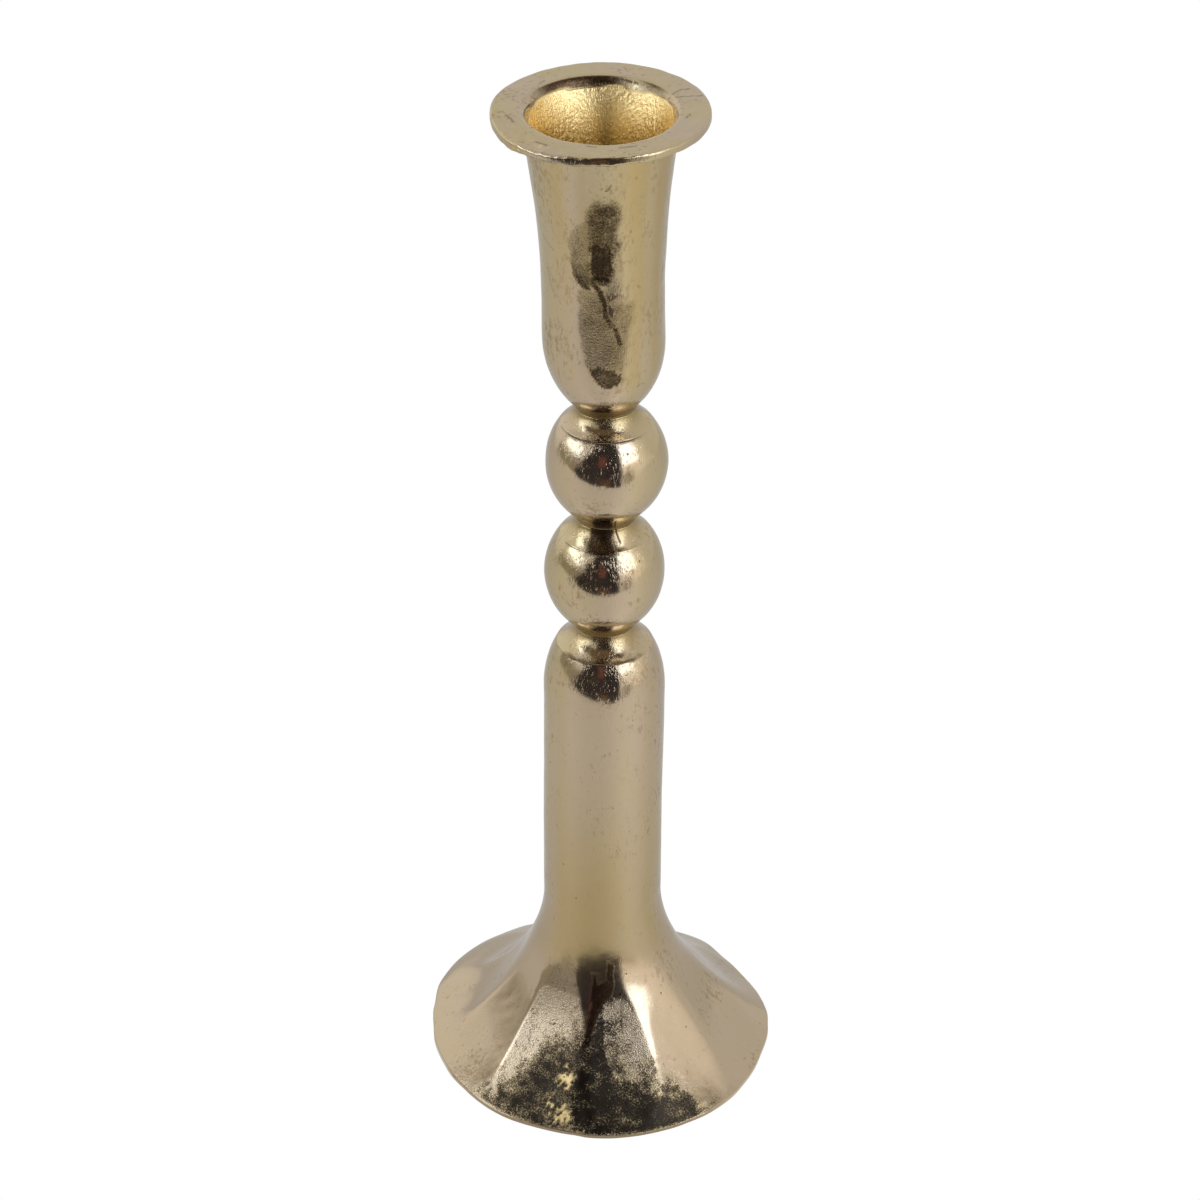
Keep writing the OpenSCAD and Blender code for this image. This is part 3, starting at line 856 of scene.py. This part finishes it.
def shape_foot(s):
    """The foot casting with its beaten flats, uneven edge and marks."""
    lathe = Lathe(foot_outline(s, CREASES["column_foot"] * MM), FOOT_TURNS, front=0.35)
    lathe.fade(foot_outline(s, 0), past_crease(lathe))
    outside = (lathe.skin > 0.99) & (lathe.z < s.flare_h) & (lathe.r > s.column_r)
    whole = lathe.r.copy()
    grain = beat_flats(lathe, s, outside)
    lathe.r -= around(lathe.side, EDGE_INSETS) * MM * smooth(s.foot_r * 0.6, s.foot_r, whole)
    raise_share = np.clip(lathe.z / s.foot_edge_h, 0, 1) * smooth(s.foot_r * 0.75, s.foot_r, whole)
    lathe.z += around(lathe.side, EDGE_LIFTS) * MM * raise_share * (lathe.skin > 0.99)
    hand_work(lathe, 11)
    mark_foot(lathe, s, outside, grain)
    return lathe


def ball_outline(s, radius_half, crease):
    """Outline of a ball: bore, spigot, side from neck to neck, and socket."""
    socket_r, socket_z = s.spigot_r + s.spigot_gap, radius_half - s.spigot_l - s.spigot_end_gap
    side, collar = bulge(s, s.ball_r, radius_half, s.ball_collar_r, s.ball_collar_h, crease)
    underside, heel = (flipped(part) for part in bulge(s, s.ball_r, radius_half, s.heel_r, s.heel_h))
    spigot_z = -radius_half - s.spigot_l
    return outline(
        *walls([(s.bore_r, spigot_z), (s.spigot_r, spigot_z), (s.spigot_r, -radius_half)], (3, 4)),
        ([(s.spigot_r, -radius_half), heel[0]], 4, 0, 1),
        (heel, 16, 1, 1),
        (np.vstack([underside, side[1:-12]]), 78, 1, 1),
        (side[-13:], 16, 1, 1),
        (collar, 34, 1, 1),
        ([collar[-1], (socket_r, radius_half)], 4, 1, 0),
        *walls([
            (socket_r, radius_half), (socket_r, socket_z), (s.bore_r, socket_z), (s.bore_r, spigot_z),
        ], (4, 3, 6)),
    )


def shape_ball(s, node, seed):
    """A ball casting in its node's place, with a crease under its collar and painted shade under the
    crease. The lower ball's collar has a painted dark reflection in front and a slash across it."""
    top, crease = top_of(node), CREASES[node]
    half = (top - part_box(node)[0].z - s.spigot_l) / 2
    creased, plain = (ball_outline(s, half, depth * MM) + [0, top - half, 0] for depth in (crease, 0))
    lathe = Lathe(creased, BALL_TURNS, front=0.3)
    lathe.fade(plain, past_crease(lathe))
    hand_work(lathe, seed, 0.8)
    middle = (top - half) / MM
    dull = dull_neck(lathe, top / MM) + dull_neck(lathe, middle - half / MM)
    # Painted shade under the ball's crease, and scuffs below it.
    dark, scuff = under_crease(lathe, middle + (half - s.ball_collar_h) / MM)
    dark = np.maximum(DULL["tarnish_and_painted_shade"] * dull, dark * min(1, 2 * crease))
    if node == "lower_ball":
        ragged = ripple(lathe.points(), 3 * MM, seed + 5)
        # Painted dark reflection on the front of the lower ball's collar.
        collar = smooth(25, 15, np.abs(lathe.side + 8) + 3 * ragged) * smooth(9.5, 11, lathe.z / MM - middle)
        slash = to_line(lathe.place(COLLAR_GIRTH) - [0, middle], unrolled(SLASH, COLLAR_GIRTH))
        dark += np.maximum(0.85 * collar, 0.8 * smooth(0.4, 0.12, slash)) * lathe.skin
    lathe.marks = {
        "raw": unpolished(lathe),
        "scuff": scuff,
        "grain": DULL["grain"] * dull,
        "tarnish_and_painted_shade": dark,
        "gold": DULL["gold"] * dull,
    }
    return lathe


# The heel of the lip's underside, as shares of the way from the throat to the lip's edge.
LIP_HEEL = (0.03, 0.32)


def cup_outline(s):
    """Outline of the cup from the tapped hole's end on the axis, round the outside and the lip, and
    down the funnel and the candle seat to the seat's middle."""
    bottom = bulge(s, s.cup_r, s.cup_bottom_h, s.heel_r, s.heel_h)
    side, heel = (raised(flipped(part), s.cup_bottom_h) for part in bottom)
    throat, lip_under = (s.throat_r, s.cup_h - s.lip_drop), (s.lip_r, s.cup_h - s.lip_edge_t)
    lip_top, mouth = (s.lip_r, s.cup_h), (s.mouth_r, s.cup_h)
    seat_top = s.cup_h - s.funnel_h
    seat_floor = seat_top - s.seat_l
    wall = curve(lambda t: (
        s.cup_r + (s.throat_r - s.cup_r) * t * t,
        s.cup_widen_h + (throat[1] - s.cup_widen_h) * t,
    ))
    elbow = [a + (b - a) * share for a, b, share in zip(throat, lip_under, LIP_HEEL)]
    underside = bend(throat, elbow, lip_under)[:-2]
    funnel = curve(lambda t: (
        s.seat_r + (s.mouth_r - s.seat_r) * (1 - t) ** 2, s.cup_h - s.funnel_h * t
    ))[5:]
    lip_low = rounded(underside[-1], lip_under, lip_top, s.lip_edge_round)
    lip_high = rounded(lip_under, lip_top, mouth, s.lip_edge_round)
    mouth_edge = rounded(lip_top, mouth, funnel[0], s.mouth_round)
    return outline(
        *walls([
            (0, s.tap_l), (s.tap_r, s.tap_l), (s.tap_r, -s.spigot_l), (s.spigot_r, -s.spigot_l),
            (s.spigot_r, 0),
        ], (3, 5, 3, 3)),
        ([(s.spigot_r, 0), heel[0]], 3, 0, 1),
        (heel, 14, 1, 1),
        (side, 32, 1, 1),
        ([side[-1], wall[0]], 24, 1, 1),
        (wall, 100, 1, 1),
        (underside, 9, 1, 1),
        ([underside[-1], lip_low[0]], 2, 1, 1),
        (lip_low, 5, 1, 1),
        ([lip_low[-1], lip_high[0]], 2, 1, 1),
        (lip_high, 5, 1, 1),
        ([lip_high[-1], mouth_edge[0]], 13, 1, 1),
        (mouth_edge, 9, 1, 0.95),
        (np.vstack([mouth_edge[-1:], funnel]), 32, 0.95, 0),
        *walls([(s.seat_r, seat_top), (s.seat_r, seat_floor), (0, seat_floor), (0, seat_floor)], (12, 5, 1)),
    )


# Areas of the cup's front: a dent with a painted dark reflection in it, darkest low down, areas
# that are sunk and dark, a swelling with painted shade under it, then a fold in its skin and
# scratches, drawn on the surface unrolled at the girth's radius: degrees from the front, to the
# right, and heights in millimetres.
CUP_GIRTH = 14.5
CUP_AREAS = {
    "dent_and_reflection": (
        (-11.5, 242.5), (-4, 244.5), (7, 245), (14.5, 243.5), (15, 240.5), (11, 237), (9, 233),
        (8.2, 227), (4.5, 224.6), (-11, 224.8), (-11.5, 233),
    ),
    "darkest_reflection": (
        (-10.8, 232.6), (-6, 235.4), (0, 233), (4, 234.4), (9.2, 233.4), (8, 227), (4.5, 224.8),
        (-10.6, 224.8),
    ),
    "side": (
        (-30, 230), (-29, 234), (-23, 238.5), (-11.8, 240), (-11.8, 222.8), (-20, 223), (-27.5, 226.5),
    ),
    "swelling": ((10, 234.5), (21, 235), (27, 228), (27, 219.5), (17, 216.5), (6, 220), (9.5, 226)),
    "shade": ((9, 218.5), (27.5, 218.8), (27.5, 214.6), (20, 209.5), (12, 214)),
    "skin": (
        (-21, 222), (-2, 222.4), (2.5, 216.3), (12.5, 212), (18.5, 207.9), (17.2, 200), (12.4, 197.8),
        (0, 197.8), (-12, 200.5), (-19, 206), (-23, 215.5),
    ),
    "end": (
        (-14, 202.2), (-4.3, 203.3), (9.3, 201.5), (17, 200.3), (12.4, 197.8), (1.4, 197.3), (-9.3, 199),
    ),
}
FOLD = ((-8, 224.3), (-4.6, 223), (1.1, 219.7), (2.4, 215.9), (9.9, 212.8), (14.3, 208.9))
CUP_SCRATCHES = (
    ((0.5, 248.6), (4.5, 248.3), (7.4, 249.6)), ((24.9, 237.1), (25.3, 236.7)),
    ((26.4, 234.6), (26.8, 234.0)), ((-63, 232.6), (-56, 231.2), (-49, 230.5)), ((-41, 211), (-44, 208)),
    ((-49.5, 198.9), (-49, 197.9)), ((-38, 202.9), (-36.5, 202.3)), ((27, 250.8), (28, 250.3)),
    ((-58, 224), (-53, 219.5)), ((33, 222.6), (35.5, 222)),
)
# Marks on the flat of the lip, to the right and away from the front, in millimetres.
LIP_MARKS = (
    ((14.6, 6.2), (17.7, 9.8), (19.4, 10.2)), ((15, 6), (19, 6.4), (22.2, 6.6)),
    ((-20.5, -3), (-18.8, -6.5)), ((-14, -15.5), (-11.5, -17.6)), ((-13.5, 13.2), (-12.4, 14.6)),
    ((4, -19.2), (7.5, -18.4)), ((18.6, -4.4), (19.6, -2.6)), ((-3, -18.4), (-1, -18.9)),
)


def cup_front(lathe):
    """Dents and dark areas of the cup's front, with a painted dark reflection in the dent and painted
    shade under the swelling. Returns how far the surface moves out, a sum of smooth steps over the
    distance to each area's border in millimetres, and the share of tarnish and painted shade, the
    greatest of the areas' shares."""
    place, points, z = lathe.place(CUP_GIRTH), lathe.points(), lathe.z / MM
    ragged = 0.2 * sum(ripple(points, size * MM, seed) for size, seed in ((3, 51), (1.1, 52), (0.6, 54)))
    plain = {name: to_area(place, unrolled(corners, CUP_GIRTH)) for name, corners in CUP_AREAS.items()}
    area = {name: distance + ragged for name, distance in plain.items()}
    fold = to_line(place, unrolled(FOLD, CUP_GIRTH)) + 0.4 * ragged
    scratch = to_lines(place, [unrolled(line, CUP_GIRTH) for line in CUP_SCRATCHES])
    shape = 0.16 * smooth(1.2, -2.8, plain["swelling"]) - 0.16 * smooth(0.9, -1.6, plain["dent_and_reflection"])
    shape -= 0.08 * smooth(1.6, -2.2, plain["skin"]) + 0.10 * smooth(0.5, -1.8, plain["side"])
    shape -= 0.05 * hump(fold, 0.5)
    shape += 0.004 * ripple(points * [1, 1, 2.2], 2.6 * MM, 53) * smooth(0.2, -0.8, area["skin"])
    fuzzy = 0.7 * smooth(236, 241, z)
    # The first two shares are the painted dark reflection in the dent, and the shade area's is painted shade
    # under the swelling.
    dark = np.maximum.reduce([
        0.8 * smooth(0.7 + fuzzy, -0.6 - fuzzy, area["dent_and_reflection"]) * (1 - 0.2 * smooth(240.5, 237, z)),
        0.93 * smooth(0.3, -0.3, area["darkest_reflection"]),
        smooth(0.3, -0.2, area["side"]) * (0.35 + 0.4 * smooth(231, 224.5, z)),
        0.27 * smooth(1.2, -1.0, area["skin"]),
        0.85 * smooth(0.4, -0.2, area["end"]) * (1 - 0.1 * smooth(-0.6, -1.6, area["end"])),
        0.85 * smooth(0.95, 0.35, fold),
        0.40 * smooth(1.2, -1.2, area["shade"]),
        0.4 * smooth(0.4, 0.1, scratch + 0.5 * np.abs(ragged)),
    ])
    return shape, dark


def wear_lip(lathe, s, lip_z, points):
    """Droops the lip on the front left, chips its edge there, and pushes it in on the back left."""
    rim = smooth(s.throat_r, s.lip_r, lathe.r) * (lathe.z > lip_z - s.lip_drop)
    chips = 0.16 * ripple(points, 4.5 * MM, 37) + 0.07 * ripple(points, 1.8 * MM, 40)
    drop = 0.9 * hump(lathe.side + 50, 30) + chips * hump(lathe.side + 30, 50)
    lathe.z -= (drop + 0.06 * ripple(points, 5 * MM, 38)) * MM * rim
    lathe.r -= 0.35 * hump(lathe.side + 145, 25) * MM * rim


def mark_cup(lathe, s, inside, wall, dark, points):
    """Marks of the cup casting at its points before the lip was worn: on the wall yellow streaks, a
    dull neck and the dark areas, inside bare gold below an uneven border, with painted shade that
    grows with depth, a painted dark reflection in an arc above the border at the back and in a stripe
    down it, and on the lip scratches, a dull edge and the painted arc where it reaches the lip."""
    lip_z, side, z = top_of("candle_cup"), lathe.side, points[..., 2] / MM
    depth, dull = (lip_z - lathe.z) / MM, dull_neck(lathe, (lip_z - s.cup_h) / MM)
    straw = 0.04 + 0.10 * ripple(points * [1, 1, 0.15], 9 * MM, 36) + streaks(lathe, points, 39, CUP_STREAKS)
    straw = straw * smooth(190, 200, z) + 0.15 * smooth(232, 248, z) * smooth(-25, 20, side)
    # The dark areas, painted reflection and shade among them, also lean towards old gold.
    straw += DULL["gold"] * dull + 0.3 * dark
    wall_grain = 0.45 * smooth(0.05, 0.2, dark) + DULL["grain"] * dull

    border = 1.9 + 0.4 * ripple(points, 6 * MM, 35)
    bare = smooth(border - 0.3, border + 0.3, depth)
    # Painted dark reflection in an arc at the back, between the mouth's edge and the bare gold.
    arc = smooth(112, 142, np.abs(side)) * smooth(0.05, 0.3, depth) * (1 - bare) * (1 - hump(side - 155, 12))
    # Painted dark reflection in a stripe down the back of the mouth.
    reflection_stripe = 0.36 * hump(turned_from(side, 176), 9) * smooth(2.5, 7, depth)
    # Painted shade that grows with depth, with the painted stripe on it, or the painted arc where that is
    # darker.
    in_mouth = np.maximum(arc, 0.2 * smooth(6, 13, depth) + reflection_stripe)

    edge = smooth(s.lip_r - 1.2 * MM, s.lip_r - 0.3 * MM, lathe.r)
    scratched = 0.6 * smooth(0.35, 0.08, to_lines(points[..., :2] / MM, LIP_MARKS)) * (z > lip_z / MM - 1.5)
    # On the lip: scratches, a dull edge, and the painted arc where it reaches the lip.
    on_lip = np.maximum.reduce([scratched, 0.4 * edge * hump(side + 26, 16), arc * (lathe.r < s.mouth_r)])
    lathe.marks = {
        "raw": np.where(inside, 0, unpolished(lathe)),
        "grain": np.where(wall, wall_grain, 0.5 * edge * hump(side + 28, 34)),
        "tarnish_and_painted_shade": np.where(wall, dark + DULL["tarnish_and_painted_shade"] * dull, np.where(inside, in_mouth, on_lip)),
        "gold": np.where(inside, bare, np.where(wall, straw, 0)),
    }


def shape_cup(s):
    """The cup casting with its uneven lip, its dented front and the rough gold inside."""
    lip_z = top_of("candle_cup")
    rows = cup_outline(s) + [0, lip_z - s.cup_h, 0]
    lathe = Lathe(rows, CUP_TURNS, open_ended=True, front=0.4)
    past_lip = (np.arange(len(rows)) - np.argmax(rows[:, 0] >= s.lip_r - 1e-6))[:, None]
    inside = (past_lip > 0) & (lathe.z < lip_z - 0.2 * MM)
    wall = (past_lip < 0) & (lathe.z < lip_z - s.lip_drop)
    shape, dark = cup_front(lathe)
    lathe.push(np.where(wall, shape, 0) * MM)
    hand_work(lathe, 31)
    points = lathe.points()
    wear_lip(lathe, s, lip_z, points)
    mark_cup(lathe, s, inside, wall, dark, points)
    return lathe


def shape_rod():
    """The tie rod with its thread: a ridge with a flat crest that climbs one pitch in each turn."""
    low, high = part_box("tie_rod")
    pitch, depth, chamfer = 1 * MM, 0.6 * MM, 0.8 * MM
    core = high.x - chamfer
    corners = [(0, low.z), (core, low.z), (core, high.z), (0, high.z), (0, high.z)]
    lathe = Lathe(outline(*walls(corners, (3, 760, 3, 1))), 40, open_ended=True)
    wave = np.abs((lathe.z / pitch - lathe.turn / 360) % 1 - 0.5) * 2
    crest = high.x - depth * smooth(0.15, 0.9, wave)
    end = np.minimum(lathe.z - low.z, high.z - lathe.z) + core
    lathe.r = np.where(lathe.r > core - 1e-9, np.minimum(crest, end), lathe.r)
    return lathe


def shape_nut(s):
    """The hexagon nut. Across a flat the radius is the flat's distance over a cosine, and a cone
    takes off the corners at both faces."""
    low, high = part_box("clamp_nut")
    corner_r = high.x
    flats_r = corner_r * math.cos(math.radians(30))
    chamfer = 0.5 * MM
    sides = outline(*walls([
        (s.tap_r, high.z), (s.tap_r, low.z), (flats_r, low.z), (flats_r, low.z + chamfer),
        (flats_r, high.z - chamfer), (flats_r, high.z), (s.tap_r, high.z),
    ], (8, 5, 6, 8, 6, 5)))
    lathe = Lathe(sides, 240)
    hexagon = flats_r / np.cos(np.radians(lathe.turn % 60 - 30))
    height = np.minimum(lathe.z - low.z, high.z - lathe.z)
    cone = flats_r + height * (corner_r - flats_r) / chamfer
    lathe.r = np.where(lathe.r > flats_r - 1e-9, np.minimum(hexagon, cone), lathe.r)
    return lathe


class HOLDER_OT_foot(bpy.types.Operator):
    """Builds the column and foot casting"""

    bl_idname = "holder.foot"
    bl_label = "Column and foot"

    def execute(self, context):
        scene = context.scene
        build("foot_casting", shape_foot(scene.holder_sizes), brass(scene), ["column_foot"])
        return {"FINISHED"}


class HOLDER_OT_balls(bpy.types.Operator):
    """Builds the two balls between the column and the cup"""

    bl_idname = "holder.balls"
    bl_label = "Balls"

    def execute(self, context):
        scene = context.scene
        for node, seed in (("lower_ball", 17), ("upper_ball", 23)):
            lathe = shape_ball(scene.holder_sizes, node, seed)
            build(f"{node}_casting", lathe, brass(scene), [node])
        return {"FINISHED"}


class HOLDER_OT_cup(bpy.types.Operator):
    """Builds the cup that takes the candle"""

    bl_idname = "holder.cup"
    bl_label = "Candle cup"

    def execute(self, context):
        scene = context.scene
        build("cup_casting", shape_cup(scene.holder_sizes), brass(scene), ["candle_cup"])
        return {"FINISHED"}


class HOLDER_OT_fixings(bpy.types.Operator):
    """Builds the threaded rod and the nut, and finishes the washers"""

    bl_idname = "holder.fixings"
    bl_label = "Rod, nut and washers"

    def execute(self, context):
        scene = context.scene
        steel = zinc_steel(scene.holder_finish)
        build("threaded_rod", shape_rod(), steel, ["tie_rod"])
        build("hexagon_nut", shape_nut(scene.holder_sizes), steel, ["clamp_nut"])
        for node in ("flat_washer", "spring_washer"):
            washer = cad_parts[node]
            washer.data.materials.clear()
            washer.data.materials.append(steel)
        return {"FINISHED"}


def brass(scene):
    """The castings' one material, made once."""
    return bpy.data.materials.get("champagne_brass") or cast_brass(scene.holder_finish)


def patch(side, rise, left, right, low, high, soft):
    """Share of a soft-edged patch of the tent, from its left to its right direction and from its low
    to its high elevation, in degrees."""
    across = smooth(left - soft, left + soft, side) * smooth(right + soft, right - soft, side)
    return across * smooth(low - soft, low + soft, rise) * smooth(high + soft, high - soft, rise)


# The tent is pale all round, with a brighter haze on the right. Over them lie soft patches, each on top
# of the ones before it: left, right, low and high end and softness, all in degrees, and colour. There
# is a bright cool panel on each side, brown overhead, and dark in front.
TENT_BASE = 0.77
TENT_HAZE = (1.22, 1.18, 1.18)
TENT_PATCHES = (
    (-158, -103, 0, 48, 8, (0.98, 0.98, 0.97)),
    (27, 64, 8, 60, 4, (2.7, 3.0, 3.5)),
    (-95, -54, 17, 56, 5, (2.7, 3.0, 3.5)),
    (-108, -50, -12, 9, 5, (0.38, 0.36, 0.30)),
    (-66, 43, 44, 100, 5, (0.19, 0.145, 0.10)),
    (28, 80, 58, 100, 5, (0.14, 0.11, 0.08)),
    (-80, -50, 34, 60, 5, (0.22, 0.18, 0.13)),
    (lambda rise: -50 + 0.6 * np.maximum(rise - 5, 0), 28, -60, 51, 3, (0.045, 0.041, 0.048)),
    (lambda rise: -60 + 0.9 * np.abs(rise + 6), 0, -40, 12, 3, (0.052, 0.047, 0.052)),
    (-35, -30, 30, 42, 2, (1.5, 1.6, 1.7)),
    (-13, 1, 8, 26, 3, (0.20, 0.095, 0.085)),
    (-12, 8, -26, -11, 3, (0.16, 0.10, 0.07)),
    (33, 50, -24, -4, 6, (0.45, 0.43, 0.38)),
)


def tent_light(side, rise):
    """Light of the tent as red, green and blue. Side is the direction in degrees from the front, to
    the right; rise is the elevation. Each patch is mixed over the light so far by its share."""
    light = np.full((*side.shape, 3), TENT_BASE)
    haze = smooth(100, 62, side) * smooth(20, 34, side) * smooth(-30, 4, rise) * smooth(70, 56, rise)
    shares = [(haze, TENT_HAZE)]
    for left, right, low, high, soft, colour in TENT_PATCHES:
        left = left(rise) if callable(left) else left
        shares.append((patch(side, rise, left, right, low, high, soft), colour))
    for share, colour in shares:
        light = light + (np.array(colour) - light) * share[..., None]
    return light


def tent_mesh(studio):
    """The light tent: a sphere round the holder that only the metal's reflections see."""
    radius = studio.tent_r
    arc = curve(lambda t: (
        radius * math.sin(math.pi * t), -radius * math.cos(math.pi * t)
    ), 181)
    skin = np.zeros((len(arc), 1))
    lathe = Lathe(np.hstack([arc, skin]), 360, open_ended=True)
    side = turned_from(lathe.turn, -90)
    rise = np.degrees(np.arctan2(lathe.z, np.maximum(lathe.r, 1e-9)))
    lathe.marks["light"] = tent_light(side, rise)
    lathe.z = lathe.z + studio.tent_h
    return mesh_of("light_tent", lathe)


def add_lamps(scene, studio):
    """A soft box on each side, which lights only what isn't metal."""
    for side in (-1, 1):
        lamp = bpy.data.lights.new("soft_box", "AREA")
        lamp.energy, lamp.size = studio.lamp_power, studio.lamp_size
        box = bpy.data.objects.new("soft_box", lamp)
        box.location = (side * studio.lamp_place.x, studio.lamp_place.y, studio.lamp_place.z)
        box.rotation_euler = (studio.lamp_tilt, side * studio.lamp_turn, 0)
        box.visible_glossy = False
        scene.collection.objects.link(box)


def add_camera(scene, studio):
    """The camera where the photograph was taken from."""
    camera = bpy.data.objects.new("camera", bpy.data.cameras.new("camera"))
    camera.location = studio.eye
    camera.rotation_euler = (math.pi / 2 - studio.pitch, 0, 0)
    camera.data.lens, camera.data.shift_y = studio.lens, studio.rise
    camera.data.clip_start, camera.data.clip_end = 0.05, 10
    scene.collection.objects.link(camera)
    scene.camera = camera


class HOLDER_OT_studio(bpy.types.Operator):
    """Builds the table, the light tent, the lamps, the world and the camera"""

    bl_idname = "holder.studio"
    bl_label = "Studio and camera"

    def execute(self, context):
        scene, studio = context.scene, context.scene.holder_studio
        tent = bpy.data.objects.new("light_tent", tent_mesh(studio))
        tent.data.materials.append(tent_glow())
        table = bpy.data.objects.new("table", table_mesh(studio))
        table.data.materials.append(table_top(studio))
        for thing in (tent, table):
            scene.collection.objects.link(thing)
        tent.visible_camera = tent.visible_diffuse = tent.visible_shadow = False
        white_world(scene, studio)
        add_lamps(scene, studio)
        add_camera(scene, studio)
        scene.view_settings.view_transform = "Standard"
        return {"FINISHED"}


def table_light(side):
    """How bright the table is in the metal, by direction in degrees from the front, to the right:
    brightest towards the tent's two bright panels, and darker behind."""
    panels = 0.26 * hump(turned_from(side, 48), 34) + 0.10 * hump(turned_from(side, -66), 26)
    return 0.90 + panels - 0.14 * smooth(95, 140, np.abs(turned_from(side, 0)))


def table_mesh(studio):
    """The table top, a flat sheet that ends in front of the holder and runs far behind it. It is a
    grid of directions and distances, each distance stopped at the sheet's edges."""
    front, far, drop = studio.table_front, studio.table_far, -0.1 * MM
    turn, distance = np.meshgrid(np.radians(np.arange(0, 360, 3)), np.geomspace(0.004, 4 * far, 40))
    x, y = distance * np.cos(turn), distance * np.sin(turn)
    limit = np.minimum(1, np.minimum(far / np.maximum(np.abs(x), 1e-9), np.where(
        y < 0, front / np.maximum(-y, 1e-9), far / np.maximum(y, 1e-9)
    )))
    points = np.stack([x * limit, y * limit, np.full_like(x, drop)], axis=-1).reshape(-1, 3)
    rows, turns = turn.shape
    index = np.arange(rows * turns).reshape(rows, turns)
    quads = np.stack([index[:-1], np.roll(index[:-1], -1, 1), np.roll(index[1:], -1, 1), index[1:]], -1)
    mesh = bpy.data.meshes.new("table")
    middle = list(range(turns))
    mesh.from_pydata(points.tolist(), [], [middle] + quads[:, :, ::-1].reshape(-1, 4).tolist())
    glow = mesh.attributes.new("glow", "FLOAT", "POINT")
    side = turned_from(np.degrees(turn), -90).ravel()
    glow.data.foreach_set("value", table_light(side).astype(np.float32))
    return mesh


def tent_glow():
    """The tent shines by itself, in the colours that its mesh says."""
    n = Nodes("tent_glow")
    light = n.add("ShaderNodeAttribute", attribute_name="light").outputs["Color"]
    shader = n.add("ShaderNodeEmission", {"Color": light, "Strength": 1.0})
    n.tree.links.new(shader.outputs[0], n.output.inputs["Surface"])
    n.material.cycles.emission_sampling = "NONE"
    return n.material


def table_top(studio):
    """White table. The camera sees it pure white. The metal reflects it a little darker, and lightest
    where the two bright panels shine on it."""
    n = Nodes("table_top")
    rays = n.add("ShaderNodeLightPath").outputs
    mirrored = n.math("MAXIMUM", rays["Is Glossy Ray"], rays["Is Transmission Ray"])
    strength = n.times(n.mark("glow"), studio.table_glow)
    strength = n.plus(n.times(mirrored, strength), n.math("SUBTRACT", 1.0, mirrored))
    glow = n.add("ShaderNodeEmission", {"Strength": strength})
    paper = n.add("ShaderNodeBsdfDiffuse", {"Color": (0.92, 0.92, 0.92, 1)})
    factor = n.math("MAXIMUM", rays["Is Camera Ray"], mirrored)
    mix = n.add("ShaderNodeMixShader", {0: factor, 1: paper.outputs[0], 2: glow.outputs[0]})
    n.tree.links.new(mix.outputs[0], n.output.inputs["Surface"])
    n.material.cycles.emission_sampling = "NONE"
    return n.material


def white_world(scene, studio):
    """White to the camera and in reflections, and a plain soft light for everything else."""
    world = bpy.data.worlds.new("white_world")
    world.use_nodes = True
    tree = world.node_tree
    rays = tree.nodes.new("ShaderNodeLightPath").outputs
    seen = tree.nodes.new("ShaderNodeMath")
    seen.operation = "MAXIMUM"
    tree.links.new(rays["Is Camera Ray"], seen.inputs[0])
    tree.links.new(rays["Is Glossy Ray"], seen.inputs[1])
    strength = tree.nodes.new("ShaderNodeMapRange")
    strength.inputs["To Min"].default_value = studio.room_light
    tree.links.new(seen.outputs[0], strength.inputs["Value"])
    backdrop = next(node for node in tree.nodes if node.type == "BACKGROUND")
    backdrop.inputs["Color"].default_value = (1, 1, 1, 1)
    tree.links.new(strength.outputs[0], backdrop.inputs["Strength"])
    scene.world = world


OPERATORS = (HOLDER_OT_foot, HOLDER_OT_balls, HOLDER_OT_cup, HOLDER_OT_fixings, HOLDER_OT_studio)


class HOLDER_PT_panel(bpy.types.Panel):
    """Lists the operators that build the holder"""

    bl_idname = "HOLDER_PT_panel"
    bl_label = "Candle Holder"
    bl_space_type = "VIEW_3D"
    bl_region_type = "UI"
    bl_category = "Candle Holder"

    def draw(self, context):
        for operator in OPERATORS:
            self.layout.operator(operator.bl_idname)


GROUPS = {"holder_sizes": HolderSizes, "holder_finish": HolderFinish, "holder_studio": HolderStudio}


def register():
    for item in (*GROUPS.values(), *OPERATORS, HOLDER_PT_panel):
        bpy.utils.register_class(item)
    for name, group in GROUPS.items():
        setattr(bpy.types.Scene, name, PointerProperty(type=group))


def unregister():
    for name in GROUPS:
        delattr(bpy.types.Scene, name)
    for item in reversed((*GROUPS.values(), *OPERATORS, HOLDER_PT_panel)):
        bpy.utils.unregister_class(item)


def main():
    """Builds everything in order."""
    register()
    for build_step in (bpy.ops.holder.foot, bpy.ops.holder.balls, bpy.ops.holder.cup,
                       bpy.ops.holder.fixings, bpy.ops.holder.studio):
        if build_step() != {"FINISHED"}:
            raise RuntimeError("a part of the holder wasn't built")


if __name__ == "__main__":
    main()
